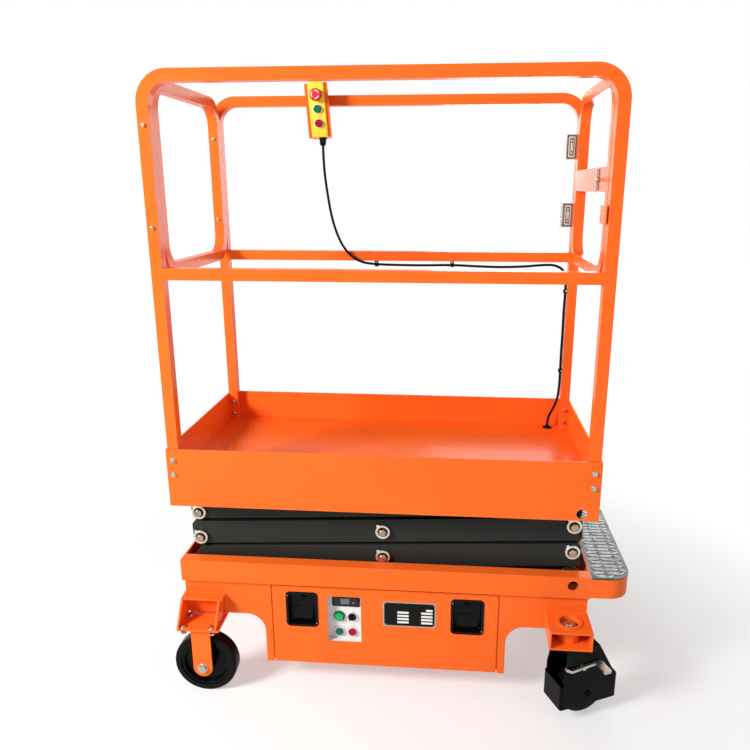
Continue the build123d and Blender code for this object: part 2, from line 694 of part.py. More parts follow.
def swivel_housing(side):
    """Foot-guard fork: skirt round the wheel, two tapering cheeks, crown, kingpin with nut and axle."""
    crown_top = SWIVEL_TOP - SWIVEL_GAP
    guard_high = GUARD_LOW + GUARD_TALL
    half_w = GUARD_WIDTH / 2
    ring = Pos(TRAIL, 0) * (
        RectangleRounded(GUARD_LENGTH, GUARD_WIDTH, GUARD_BEND)
        - RectangleRounded(GUARD_LENGTH - 2 * GUARD_T, GUARD_WIDTH - 2 * GUARD_T, GUARD_BEND - GUARD_T)
    )
    housing = plate_xy(ring, GUARD_LOW, guard_high)
    heel = TRAIL - GUARD_LENGTH / 2 + GUARD_BEND
    toe = TRAIL + GUARD_LENGTH / 2 - GUARD_BEND
    crown_front = toe + GUARD_BEND - CROWN_SLOPE
    cheek = Polygon(
        (heel, guard_high - 12.0),
        (toe, guard_high - 12.0),
        (toe, guard_high),
        (crown_front, crown_top),
        (-CROWN_BACK, crown_top),
        (-CROWN_BACK, guard_high + 60.0),
        (heel, guard_high + 25.0),
        align=None,
    )
    for y0 in (-half_w, half_w - GUARD_T):
        housing += plate_xz(cheek, y0, y0 + GUARD_T)
    housing += block(-CROWN_BACK, crown_front, -half_w, half_w, crown_top - CASTOR_PLATE_T, crown_top)
    housing += rod_z(0, 0, CROWN_BACK - 2.0, crown_top, SWIVEL_TOP - FACE_CLEARANCE)
    nut_low = SWIVEL_TOP + BOX_H - KINGPIN_RECESS + FACE_CLEARANCE
    housing += rod_z(0, 0, KINGPIN_D / 2, crown_top, nut_low)
    housing += plate_xy(RegularPolygon(KINGPIN_D * 0.72, 6), nut_low, nut_low + 12.0)
    housing += rod_z(0, 0, KINGPIN_D * 0.4, nut_low + 12.0, nut_low + 16.0)
    housing += rod_y(TRAIL, SWIVEL_WHEEL_D / 2, AXLE_D / 2, -half_w, half_w)
    return place_swivel(housing, side)


def swivel_tyre(side):
    return place_swivel(tyre_at(TRAIL, 0, SWIVEL_WHEEL_D, SWIVEL_WHEEL_W), side)


def swivel_rim(side):
    hub_half = SWIVEL_WHEEL_W / 2 + GUARD_SIDE_GAP - 1.0
    return place_swivel(rim_at(TRAIL, 0, SWIVEL_WHEEL_D, SWIVEL_WHEEL_W, hub_half), side)


def brake_pedal(side):
    """Bent brake bar along the cheek, on its pivot pin, with a foot paddle that stands out from it."""
    face = -GUARD_WIDTH / 2
    seat = face - 3.0
    rise = GUARD_LOW + GUARD_TALL
    path = FilletPolyline(
        (-36.0, rise + 65.0), (-18.0, rise + 54.0), (56.0, rise + 61.0), (56.0 + PEDAL_W, rise + 62.0), radius=8.0
    )
    pedal = plate_xz(trace(path, line_width=PEDAL_T), seat - PEDAL_BAR_W, seat)
    pedal += rod_y(20.0, rise + 57.6, 6.0, seat - PEDAL_BAR_W - 2.0, face)
    paddle = block(56.0, 56.0 + PEDAL_W, seat - PEDAL_REACH, seat, rise + 58.0, rise + 65.0)
    outer = [edge for edge in paddle.edges().filter_by(Axis.Z) if edge.center().Y < seat - 1.0]
    pedal += fillet(outer, 5.0)
    return place_swivel(pedal, side)


# Step at the entry end

def step_sketch(inset):
    """Plan of the step, with round outer corners, drawn in by an inset."""
    outline = Polygon(
        (STEP_START, -BASE_OUT + inset),
        (STEP_END - inset, -BASE_OUT + inset),
        (STEP_END - inset, BASE_OUT - inset),
        (STEP_START, BASE_OUT - inset),
        align=None,
    )
    outer = [v for v in outline.vertices() if v.X > STEP_START + 1.0]
    return fillet(outer, STEP_CORNER - inset)


def step_frame():
    """Painted skirt of the step, bent round its outer corners, with a shelf under the tread."""
    top = CHANNEL_TOP - STEP_PLATE_T
    low = CHANNEL_TOP - STEP_SKIRT
    skirt = plate_xy(step_sketch(0.0), low, top) - plate_xy(step_sketch(SHEET), low, top - SHEET)
    rising = Polygon((STEP_START, low), (STEP_END, low + STEP_TAPER), (STEP_END, low), align=None)
    return skirt - plate_xz(rising, -BASE_OUT, BASE_OUT)


def step_plate():
    """Chequer-plate tread on the step."""
    return plate_xy(step_sketch(0.0), CHANNEL_TOP - STEP_PLATE_T, CHANNEL_TOP)


# Scissor arms, stage counted from the base

def left_z(stage):
    """Height of the left end of an inner arm."""
    return BASE_PIN_Z + stage * PITCH


def frame_ends(stage):
    """Ends of a stage's arms that swing inside the base or the deck: -1 for the foot, 1 for the head."""
    ends = []
    if stage == 1:
        ends.append(-1)
    if stage == STAGES:
        ends.append(1)
    return ends


def arm_sketch(start, end, trimmed):
    """Flat arm bored for its pins: it lies closer to level than its pin line, so folded stages stack."""
    dx = end[0] - start[0]
    dz = end[1] - start[1]
    middle = ((start[0] + end[0]) / 2, (start[1] + end[1]) / 2)
    way = math.copysign(1, dx)
    angle = math.degrees(math.atan2(dz, dx)) - way * ARM_LEAN
    half = math.hypot(dx, dz) / 2 + ARM_TAIL
    arm = RectangleRounded(2 * half, ARM_DEPTH, ARM_CORNER)
    side = ARM_TRIM * math.sqrt(2)
    for end_way in trimmed:
        corner = (end_way * half, -end_way * way * ARM_DEPTH / 2)
        arm -= Pos(*corner) * Rot(0, 0, 45) * Rectangle(side, side)
    arm = Pos(*middle) * Rot(0, 0, angle) * arm
    for hole in (start, middle, end):
        arm -= Pos(*hole) * Circle(PIVOT_PIN_D / 2 + RUNNING_CLEARANCE)
    return arm


def outer_ends(stage):
    return (-PIN_X, left_z(stage - 1)), (PIN_X, left_z(stage))


def inner_ends(stage):
    return (PIN_X, left_z(stage - 1)), (-PIN_X, left_z(stage))


def outer_arms(stage):
    """Pair of outer arms, rising towards the step end."""
    return both_sides(plate_xz(arm_sketch(*outer_ends(stage), frame_ends(stage)), -ARM_OUT, -OUTER_IN))


def along_inner(stage, share):
    """Point on the centre line of an inner arm."""
    (x0, z0), (x1, z1) = inner_ends(stage)
    return x0 + share * (x1 - x0), z0 + share * (z1 - z0)


def pin_shares(stage):
    """Where the pins of an inner arm sit: foot, middle and head."""
    if stage == 1:
        return [0.5, 1.0]
    if stage == STAGES:
        return [0.0, 0.5]
    return [0.0, 0.5, 1.0]


def inner_arms(stage):
    """Pair of inner arms, rising away from the step, each with its pivot pins and their heads."""
    arm = plate_xz(arm_sketch(*inner_ends(stage), frame_ends(stage)), -INNER_OUT, -INNER_IN)
    for share in pin_shares(stage):
        x, z = along_inner(stage, share)
        arm += rod_y(x, z, PIVOT_PIN_D / 2 + RUNNING_CLEARANCE, -INNER_OUT, -INNER_IN)
        arm += rod_y(x, z, PIVOT_PIN_D / 2, -HEAD_OUT, -INNER_OUT)
        arm += rod_y(x, z, PIN_HEAD_D / 2, -HEAD_OUT, -ARM_OUT - FACE_CLEARANCE)
    return both_sides(arm)


def tube_shares(stage):
    """Where the tubes of a pair of inner arms sit along the arms."""
    if stage == 1:
        return [0.0, 1.0]
    if stage == STAGES:
        return [0.1, 0.5]
    return [0.5, 0.92]


def cross_tubes(stage):
    """Tubes that tie a pair of inner arms together, with the lifting crank on the first stage."""
    tubes = []
    for share in tube_shares(stage):
        x, z = along_inner(stage, share)
        tubes.append(rod_y(x, z, CROSS_TUBE_D / 2, -INNER_IN, INNER_IN))
    if stage == 1:
        crank = crank_sketch()
        inner = EYE_W / 2 + CLEVIS_GAP + 2.0
        for y0 in (-inner - LUG_T, inner):
            tubes[0] += plate_xz(crank, y0, y0 + LUG_T)
    return group(*tubes)


def crank_eye(angle_deg):
    """Crank eye with the first inner arm raised to an angle."""
    angle = math.radians(angle_deg)
    x = PIN_X - CRANK_ALONG * math.cos(angle) + CRANK_UP * math.sin(angle)
    z = BASE_PIN_Z + CRANK_ALONG * math.sin(angle) + CRANK_UP * math.cos(angle)
    return x, z


def crank_sketch():
    """Crank plate from the foot tube to the cylinder rod's eye."""
    eye = crank_eye(FOLDED_ANGLE)
    reach = math.hypot(eye[0] - PIN_X, eye[1] - BASE_PIN_Z)
    angle = math.degrees(math.atan2(eye[1] - BASE_PIN_Z, eye[0] - PIN_X))
    middle = ((PIN_X + eye[0]) / 2, (BASE_PIN_Z + eye[1]) / 2)
    plate = Pos(*middle) * Rot(0, 0, angle) * SlotCenterToCenter(reach, EYE_D)
    return plate - Pos(*eye) * Circle(PIVOT_PIN_D / 2)


# Rollers

def base_rollers():
    """Rollers on the feet of the first outer arms, running in the side channels."""
    z = BASE_PIN_Z
    inner = ARM_OUT + 6.5
    outer = BASE_OUT - CHANNEL_T - 9.5
    roller = rod_y(-PIN_X, z, PIVOT_PIN_D / 2 + RUNNING_CLEARANCE, -ARM_OUT, -OUTER_IN)
    roller += rod_y(-PIN_X, z, ROLLER_PIN_D / 2, -outer - 2.0, -ARM_OUT)
    roller += rod_y(-PIN_X, z, ROLLER_D / 2, -outer, -inner)
    return both_sides(roller)


def deck_rollers():
    """Rollers on the heads of the last inner arms, running under the deck."""
    z = DECK_PIN_Z
    outer = INNER_IN - 3.5
    roller = rod_y(-PIN_X, z, PIVOT_PIN_D / 2 + RUNNING_CLEARANCE, -INNER_OUT, -INNER_IN)
    roller += rod_y(-PIN_X, z, ROLLER_PIN_D / 2, -INNER_IN, -outer)
    roller += rod_y(-PIN_X, z, ROLLER_D / 2, -outer, -outer + DECK_ROLLER_W)
    return both_sides(roller)


# Lifting cylinder

def cylinder_span(angle_deg):
    """Length and slope of the cylinder between its two pins."""
    eye = crank_eye(angle_deg)
    dx = eye[0] - BARREL_PIN[0]
    dz = eye[1] - BARREL_PIN[1]
    return math.hypot(dx, dz), math.degrees(math.atan2(dz, dx))


def place_cylinder(shape):
    """Set a piece drawn along X from the barrel's pin into the folded machine."""
    slope = cylinder_span(FOLDED_ANGLE)[1]
    return Pos(BARREL_PIN[0], 0, BARREL_PIN[1]) * Rot(0, -slope, 0) * shape


def eye_piece(x):
    """Eye of the cylinder drawn about (x, 0)."""
    return rod_y(x, 0, EYE_D / 2, -EYE_W / 2, EYE_W / 2)


def cylinder_barrel():
    """Barrel with its rear eye, gland collar and the bore that the rod slides in."""
    barrel_end = cylinder_span(FOLDED_ANGLE)[0] - ROD_SHOWN
    shoulder = LUG_HALF + 5.0
    barrel = eye_piece(0.0) + rod_x(0, 0, BARREL_D / 2, shoulder, barrel_end)
    barrel += block(0.0, shoulder, -EYE_W / 2, EYE_W / 2, -EYE_D / 2 + 4.0, EYE_D / 2 - 4.0)
    barrel += rod_x(0, 0, BARREL_D / 2 + 5.0, barrel_end - 46.0, barrel_end)
    bore_end = barrel_end - ROD_GRIP - 10.0
    barrel -= rod_x(0, 0, ROD_D / 2 + RUNNING_CLEARANCE, bore_end, barrel_end)
    barrel -= rod_y(0, 0, PIVOT_PIN_D / 2 + RUNNING_CLEARANCE, -EYE_W / 2, EYE_W / 2)
    return place_cylinder(barrel)


def cylinder_rod():
    """Chromed rod with its front eye."""
    length = cylinder_span(FOLDED_ANGLE)[0]
    rod = rod_x(0, 0, ROD_D / 2, length - ROD_SHOWN - ROD_GRIP, length - EYE_D / 2 + 4.0) + eye_piece(length)
    rod -= rod_y(length, 0, PIVOT_PIN_D / 2, -EYE_W / 2, EYE_W / 2)
    return place_cylinder(rod)


# Platform tray

def deck_plate():
    """Floor of the tray, notched at its corners for the rail legs, with the hole for the cable's grommet."""
    deck = block(-TRAY_END_IN, TRAY_END_IN, -SKIRT_IN, SKIRT_IN, DECK_TOP - SHEET, DECK_TOP)
    notch = block(LEG_IN_X, TRAY_END_IN, LEG_IN_Y, SKIRT_IN, DECK_TOP - SHEET, DECK_TOP)
    deck -= both_sides(group(notch, mirror(notch, Plane.YZ)))
    x, y, _ = cable_route()[-1]
    return deck - rod_z(x, y, GROMMET_D / 2, DECK_TOP - SHEET, DECK_TOP)


def skirt_sides():
    """Front and back skirts with the access hole to the deck pivot."""
    half = TRAY_LENGTH / 2
    skirt = block(-half, half, -TRAY_WIDTH / 2, -SKIRT_IN, TRAY_BOTTOM, TRAY_TOP)
    skirt -= rod_y(PIN_X, DECK_PIN_Z, SKIRT_HOLE_D / 2, -TRAY_WIDTH / 2 - 1.0, -SKIRT_IN + 1.0)
    return both_sides(skirt)


def skirt_ends():
    half = TRAY_LENGTH / 2
    left = block(-half, -TRAY_END_IN, -SKIRT_IN, SKIRT_IN, TRAY_BOTTOM, TRAY_TOP)
    right = block(TRAY_END_IN, half, -SKIRT_IN, SKIRT_IN, TRAY_BOTTOM, TRAY_TOP)
    return group(left, right)


def deck_mounts():
    """Roller tracks and pivot lugs under the deck, with the fixed deck pins."""
    under = DECK_TOP - SHEET
    track_low = DECK_PIN_Z + ROLLER_D / 2 + FACE_CLEARANCE
    track_out = INNER_IN - 3.5
    track = block(
        -TRAY_END_IN, -TRAY_END_IN + 520.0, -track_out, -track_out + DECK_ROLLER_W, track_low, under
    )
    lug_in = ARM_OUT + 6.5
    lug = Pos(PIN_X, DECK_PIN_Z) * Circle(LUG_HALF)
    lug += Pos(PIN_X, (DECK_PIN_Z + under) / 2) * Rectangle(2 * LUG_HALF, under - DECK_PIN_Z)
    pivot = plate_xz(lug, -lug_in - LUG_T, -lug_in)
    pivot += rod_y(PIN_X, DECK_PIN_Z, PIVOT_PIN_D / 2, -lug_in, -OUTER_IN)
    pivot += rod_y(PIN_X, DECK_PIN_Z, PIN_HEAD_D / 2, -lug_in - LUG_T - PIN_HEAD_T, -lug_in - LUG_T)
    return both_sides(group(track, pivot))


# Guard rails

def hoop_sketch():
    """Side rail seen from the front: two legs, a bent top rail and a straight mid rail."""
    def arch(half, top, bend):
        foot = DECK_TOP - SHEET
        outline = Polygon((-half, foot), (half, foot), (half, top), (-half, top), align=None)
        return fillet([v for v in outline.vertices() if v.Y > top - 1.0], bend)

    hoop = arch(TRAY_END_IN, RAIL_TOP, RAIL_BEND)
    hoop -= arch(LEG_IN_X, RAIL_TOP - RAIL_TUBE, RAIL_BEND - RAIL_TUBE)
    return hoop + Pos(0, MID_RAIL_TOP - RAIL_TUBE / 2) * Rectangle(2 * LEG_IN_X, RAIL_TUBE)


def guardrail_front():
    return plate_xz(hoop_sketch(), -SKIRT_IN, -LEG_IN_Y)


def guardrail_back():
    return plate_xz(hoop_sketch(), LEG_IN_Y, SKIRT_IN)


def end_rail():
    """Closed loop bolted between the legs at the end away from the step."""
    loop = rounded_loop(2 * LEG_IN_Y, LOOP_TOP - LOOP_LOW, RAIL_BEND, RAIL_TUBE)
    return plate_yz(Pos(0, (LOOP_TOP + LOOP_LOW) / 2) * loop, -TRAY_END_IN, -LEG_IN_X)


# Entry gate

def gate_frame():
    """Gate loop with its bolt bar and the stop strap that laps the front leg."""
    width = GATE_BACK - GATE_FRONT
    middle = ((GATE_BACK + GATE_FRONT) / 2, (LOOP_TOP + LOOP_LOW) / 2)
    loop = Pos(*middle) * rounded_loop(width, LOOP_TOP - LOOP_LOW, RAIL_BEND, RAIL_TUBE)
    gate = plate_yz(loop, LEG_IN_X, TRAY_END_IN)
    bar_z = GATE_BAR_Z
    gate += block(
        LEG_IN_X, TRAY_END_IN, GATE_FRONT + RAIL_TUBE, GATE_BACK - RAIL_TUBE,
        bar_z - GATE_BAR_H / 2, bar_z + GATE_BAR_H / 2,
    )
    strap_low = LOOP_LOW + GATE_STRAP_LIFT - GATE_STRAP_H / 2
    strap_top = strap_low + GATE_STRAP_H
    tube = (GATE_FRONT, GATE_FRONT + RAIL_TUBE)
    gate += block(LEG_IN_X - SHEET, LEG_IN_X, *tube, strap_low, strap_top)
    gate += block(
        LEG_IN_X - 2 * SHEET, LEG_IN_X - SHEET, -SKIRT_IN + SHEET, tube[1], strap_low, strap_top
    )
    return gate


def gate_bolt():
    """Slide bolt on the gate's bar: rod, two guides and a round knob."""
    bar_z = GATE_BAR_Z
    x = LEG_IN_X - 8.0
    bolt = rod_y(x, bar_z, 6.0, -210.0, -60.0)
    bolt += block(x - 9.0, LEG_IN_X, -190.0, -172.0, bar_z - 12.0, bar_z + 12.0)
    bolt += block(x - 9.0, LEG_IN_X, -100.0, -82.0, bar_z - 12.0, bar_z + 12.0)
    bolt += rod_x(-136.0, bar_z, 5.0, x - 26.0, x)
    bolt += rod_x(-136.0, bar_z, 10.0, x - 36.0, x - 26.0)
    return bolt


def hinge_heights():
    return [LOOP_LOW + LOWER_HINGE_LIFT, LOOP_TOP - UPPER_HINGE_DROP]


def hinge_knuckle(low, high, bore):
    """One knuckle of the gate hinge, bored where it turns on the pin."""
    knuckle = rod_z(GATE_AXIS_X, GATE_AXIS_Y, BARREL_KNUCKLE_D / 2, low, high)
    if bore:
        knuckle -= rod_z(GATE_AXIS_X, GATE_AXIS_Y, GATE_PIN_D / 2 + RUNNING_CLEARANCE, low, high)
    return knuckle


def gate_hinges():
    """Leaves on the gate, each with the middle knuckle."""
    leaves = []
    for z in hinge_heights():
        leaf = block(
            GATE_AXIS_X, GATE_AXIS_X + LEAF_W, GATE_BACK, GATE_BACK + LEAF_T, z - HINGE_H / 2, z + HINGE_H / 2
        )
        third = HINGE_H / 6
        swept = BARREL_KNUCKLE_D / 2 + 0.5
        for low, high in ((z - HINGE_H, z - third), (z + third, z + HINGE_H)):
            leaf -= rod_z(GATE_AXIS_X, GATE_AXIS_Y, swept, low, high)
        leaf -= rod_z(GATE_AXIS_X, GATE_AXIS_Y, BARREL_KNUCKLE_D / 2 - 0.5, z - third, z + third)
        leaf += hinge_knuckle(z - third + 0.5, z + third - 0.5, True)
        leaves.append(leaf)
    return group(*leaves)


def leg_hinges():
    """Leaves on the back leg, each with the two outer knuckles and the pin."""
    leaves = []
    for z in hinge_heights():
        leaf = block(
            GATE_AXIS_X, GATE_AXIS_X + LEAF_W, LEG_IN_Y - LEAF_T, LEG_IN_Y, z - HINGE_H / 2, z + HINGE_H / 2
        )
        third = HINGE_H / 6
        leaf -= rod_z(GATE_AXIS_X, GATE_AXIS_Y, BARREL_KNUCKLE_D / 2 + 0.5, z - third - 0.5, z + third + 0.5)
        leaf += hinge_knuckle(z - HINGE_H / 2, z - third - 0.5, False)
        leaf += hinge_knuckle(z + third + 0.5, z + HINGE_H / 2, False)
        leaf += rod_z(GATE_AXIS_X, GATE_AXIS_Y, GATE_PIN_D / 2, z - HINGE_H / 2, z + HINGE_H / 2)
        leaves.append(leaf)
    return group(*leaves)


# Operator's control box and its cable

def place_box(shape):
    """Set a piece drawn about the control box's middle onto the back rail, slightly askew."""
    middle = (BOX_X, BOX_FACE + BOX_DEPTH / 2, BOX_BOTTOM + BOX_TALL / 2)
    return Pos(*middle) * Rot(0, -BOX_TILT, 0) * shape


def control_bracket():
    """Painted hat-section bracket round the control box: back plate, side flanges and turned-out lips."""
    back = BOX_DEPTH / 2
    half = BOX_WIDTH / 2
    low = -BOX_TALL / 2 - 1.0
    high = BOX_TALL / 2 - 4.0
    front = BOX_LIP_SETBACK - BOX_DEPTH / 2
    bracket = block(-half - BOX_SHEET, half + BOX_SHEET, back, back + SHEET, low, high)
    for x0 in (-half - BOX_SHEET, half):
        bracket += block(x0, x0 + BOX_SHEET, front, back, low, high)
    for x0 in (-half - BOX_LIP, half):
        bracket += block(x0, x0 + BOX_LIP, front, front + BOX_SHEET, low, high)
    return place_box(bracket)


def control_box():
    body = Box(BOX_WIDTH, BOX_DEPTH, BOX_TALL)
    body = fillet(body.edges().filter_by(Axis.Y), 5.0)
    return place_box(body)


def control_buttons():
    """Emergency stop, up and down buttons with their bezels."""
    face = -BOX_DEPTH / 2
    stop = rod_y(0, 40.0, PUSH_D / 2, face - 8.0, face)
    stop += rod_y(0, 40.0, STOP_D / 2, face - 22.0, face - 8.0)
    pieces = [stop]
    for z in (1.0, -40.0):
        bezel = rod_y(0, z, PUSH_D / 2, face - 5.0, face)
        pieces.append(bezel + rod_y(0, z, PUSH_D / 2 - 4.0, face - 12.0, face - 5.0))
    return place_box(group(*pieces))


def cable_fittings():
    """Gland under the control box, clips on the rail and the leg, and the grommet on the deck."""
    route = cable_route()
    x, y, z = route[0]
    gland = rod_z(x, y, 10.0, z, BOX_BOTTOM + 6.0) - place_box(Box(BOX_WIDTH, BOX_DEPTH, BOX_TALL))
    x, y, z = route[-1]
    grommet = rod_z(x, y, GROMMET_D / 2, DECK_TOP - SHEET, z - 5.0) + rod_z(x, y, 8.0, z - 5.0, z)
    pieces = [gland, grommet]
    half = 5.0
    wall = 9.0
    hole = CABLE_D / 2 + 2.6
    for place in RAIL_CLIPS:
        x, y, z = route[place]
        saddle = block(x - half, x + half, y - wall, y + wall, z - wall, RAIL_LOW)
        pieces.append(saddle - rod_x(y, z, hole, x - half, x + half))
    for place in LEG_CLIPS:
        x, y, z = route[place]
        saddle = block(x - wall, LEG_IN_X, y - wall, y + wall, z - half, z + half)
        pieces.append(saddle - rod_z(x, y, hole, z - half, z + half))
    return group(*pieces)


def cable_radii(points):
    """Largest tangent arc at each corner of the cable's route."""
    radii = []
    for before, here, after in zip(points, points[1:], points[2:]):
        first = Vector(*here) - Vector(*before)
        second = Vector(*after) - Vector(*here)
        half_turn = math.radians(first.get_angle(second)) / 2
        radii.append(0.45 * min(first.length, second.length) / math.tan(half_turn))
    return radii


def control_cable():
    """Control cable, one round tube along its route."""
    route = cable_route()
    radii = cable_radii(route)
    path = FilletPolyline(*route, radius=radii)
    return sweep(Plane(path @ 0, z_dir=path % 0) * Circle(CABLE_D / 2), path=path)


NODES = {
    "side_channels": side_channels,
    "end_plates": end_plates,
    "floor_plate": floor_plate,
    "side_panels": side_panels,
    "compartment": compartment,
    "power_pack": power_pack,
    "service_door": service_door,
    "door_latches": door_latches,
    "control_panel": control_panel,
    "panel_controls": panel_controls,
    "rigid_brackets": rigid_brackets,
    "rigid_forks": rigid_forks,
    "rigid_axles": rigid_axles,
    "swivel_brackets": swivel_brackets,
    "step_frame": step_frame,
    "step_plate": step_plate,
    "base_rollers": base_rollers,
    "deck_rollers": deck_rollers,
    "cylinder_barrel": cylinder_barrel,
    "cylinder_rod": cylinder_rod,
    "deck_plate": deck_plate,
    "skirt_sides": skirt_sides,
    "skirt_ends": skirt_ends,
    "deck_mounts": deck_mounts,
    "guardrail_front": guardrail_front,
    "guardrail_back": guardrail_back,
    "end_rail": end_rail,
    "gate_frame": gate_frame,
    "gate_bolt": gate_bolt,
    "gate_hinges": gate_hinges,
    "leg_hinges": leg_hinges,
    "control_bracket": control_bracket,
    "control_box": control_box,
    "control_buttons": control_buttons,
    "cable_fittings": cable_fittings,
    "control_cable": control_cable,
}

SIDES = {"front": -1, "back": 1}
SIDE_NODES = {
    "rigid_tyre": rigid_tyre,
    "rigid_rim": rigid_rim,
    "swivel_housing": swivel_housing,
    "swivel_tyre": swivel_tyre,
    "swivel_rim": swivel_rim,
    "brake_pedal": brake_pedal,
}
STAGE_NODES = {"outer_arms": outer_arms, "inner_arms": inner_arms, "cross_tubes": cross_tubes}


def write(name, shape):
    """Save one piece, moved so that the part's box is centred on X."""
    export_step(Pos(-ORIGIN_X, 0, 0) * shape, os.path.join("parts", name + ".step"))


def main():
    os.makedirs("parts", exist_ok=True)
    for name, make in NODES.items():
        write(name, make())
    for name, make in SIDE_NODES.items():
        for side, sign in SIDES.items():
            write(name + "_" + side, make(sign))
    for name, make in STAGE_NODES.items():
        for stage in range(1, STAGES + 1):
            write(name + "_" + str(stage), make(stage))


if __name__ == "__main__":
    main()
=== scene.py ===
import json
import math

import bmesh
import bpy
from mathutils import Matrix, Vector


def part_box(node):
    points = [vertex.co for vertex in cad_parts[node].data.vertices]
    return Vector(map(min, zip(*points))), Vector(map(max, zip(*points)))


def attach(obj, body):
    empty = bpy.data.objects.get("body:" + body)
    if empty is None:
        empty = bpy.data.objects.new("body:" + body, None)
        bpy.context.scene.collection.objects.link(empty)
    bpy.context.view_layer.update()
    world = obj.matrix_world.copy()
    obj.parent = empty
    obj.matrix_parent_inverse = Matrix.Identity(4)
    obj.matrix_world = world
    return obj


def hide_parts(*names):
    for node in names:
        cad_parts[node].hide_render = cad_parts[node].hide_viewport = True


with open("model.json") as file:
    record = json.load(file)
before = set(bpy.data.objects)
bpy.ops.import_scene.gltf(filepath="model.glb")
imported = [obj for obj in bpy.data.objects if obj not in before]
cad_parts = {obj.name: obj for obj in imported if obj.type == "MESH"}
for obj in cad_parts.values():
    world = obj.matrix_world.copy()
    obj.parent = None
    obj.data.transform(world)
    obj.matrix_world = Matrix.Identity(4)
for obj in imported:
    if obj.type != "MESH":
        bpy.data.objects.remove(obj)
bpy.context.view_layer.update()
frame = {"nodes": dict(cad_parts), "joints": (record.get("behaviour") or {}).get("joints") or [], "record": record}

X, Y, Z = Vector((1, 0, 0)), Vector((0, 1, 0)), Vector((0, 0, 1))
BLACK = (0.0, 0.0, 0.0, 1.0)
WHITE = (1.0, 1.0, 1.0, 1.0)


# Finishes

def srgb(red, green, blue):
    """Screen colour, 0 to 255, as the linear colour a shader takes."""
    def linear(value):
        value /= 255
        return value / 12.92 if value <= 0.04045 else ((value + 0.055) / 1.055) ** 2.4
    return (linear(red), linear(green), linear(blue), 1.0)


class Value:
    """A number on a socket, so that a finish can be written as a sum."""

    def __init__(self, tree, socket):
        self.tree = tree
        self.socket = socket

    def math(self, operation, first, second):
        return self.tree.node("ShaderNodeMath", {"operation": operation}, {0: first, 1: second})

    def __add__(self, other):
        return self.math("ADD", self, other)

    def __radd__(self, other):
        return self.math("ADD", other, self)

    def __mul__(self, other):
        return self.math("MULTIPLY", self, other)

    def __gt__(self, other):
        return self.math("GREATER_THAN", self, other)

    def either(self, other):
        return self.math("MAXIMUM", self, other)


class Nodes:
    """Node tree of a material or of the world."""

    def __init__(self, tree):
        self.tree = tree

    def node(self, kind, settings, sockets, output=0):
        """Add a node: its settings first, then the values or links of its sockets."""
        node = self.tree.nodes.new(kind)
        for key, value in settings.items():
            if key == "stops":
                self.set_stops(node.color_ramp, value)
            else:
                setattr(node, key, value)
        for key, value in sockets.items():
            self.put(node.inputs[key], value)
        return Value(self, node.outputs[output])

    def put(self, socket, value):
        if isinstance(value, Value):
            self.tree.links.new(value.socket, socket)
        else:
            socket.default_value = value

    @staticmethod
    def set_stops(ramp, stops):
        while len(ramp.elements) < len(stops):
            ramp.elements.new(0.5)
        for element, (place, grey) in zip(ramp.elements, stops):
            element.position = place
            element.color = (grey, grey, grey, 1.0)

    def ramp(self, value, *stops):
        return self.node("ShaderNodeValToRGB", {"stops": stops}, {"Fac": value})

    def mix(self, share, first, second):
        return self.node("ShaderNodeMix", {"data_type": "RGBA"}, {0: share, 6: first, 7: second}, 2)

    def seen(self):
        """1 for what the camera, a reflection or a view through glass shows, 0 for light."""
        path = [self.node("ShaderNodeLightPath", {}, {}, "Is %s Ray" % kind)
                for kind in ("Camera", "Glossy", "Transmission")]
        return path[0].either(path[1]).either(path[2])


class Finish(Nodes):
    """One procedural material on a Principled shader."""

    def __init__(self, name, **constants):
        self.material = bpy.data.materials.new(name)
        self.material.use_nodes = True
        super().__init__(self.material.node_tree)
        self.shader = self.tree.nodes["Principled BSDF"]
        for socket, value in constants.items():
            self.shader.inputs[socket.replace("_", " ")].default_value = value
        self.place = self.node("ShaderNodeTexCoord", {}, {}, "Object")

    def feed(self, **sockets):
        for socket, value in sockets.items():
            self.put(self.shader.inputs[socket.replace("_", " ")], value)

    def noise(self, scale, detail=2.0, rough=0.5):
        """Noise over the object, with about this many spots to the metre."""
        sockets = {"Vector": self.place, "Scale": scale, "Detail": detail, "Roughness": rough}
        return self.node("ShaderNodeTexNoise", {}, sockets, "Fac")

    def height(self):
        return self.node("ShaderNodeSeparateXYZ", {}, {0: self.place}, "Z")

    def rounded(self, radius):
        """Normals as if every edge were rounded to this radius."""
        return self.node("ShaderNodeBevel", {"samples": 4}, {"Radius": radius})

    def edges(self, radius, low, high):
        """Mask of the edges that a worn coat shows first."""
        sockets = {0: self.rounded(radius), 1: self.node("ShaderNodeNewGeometry", {}, {}, "Normal")}
        facing = self.node("ShaderNodeVectorMath", {"operation": "DOT_PRODUCT"}, sockets, "Value")
        return self.ramp(facing, (low, 1.0), (high, 0.0))

    def bump(self, height, depth, radius):
        """Surface relief of this depth in metres, over edges rounded to this radius."""
        sockets = {"Strength": 1.0, "Distance": depth, "Height": height, "Normal": self.rounded(radius)}
        return self.node("ShaderNodeBump", {}, sockets)


# Depth of the relief in each kind of surface, in metres
ORANGE_PEEL, PLATE_GRAIN, MOULD_GRAIN = 0.00002, 0.00004, 0.00003


def shaded(colour, share):
    return tuple(channel * share for channel in colour[:3]) + (1.0,)


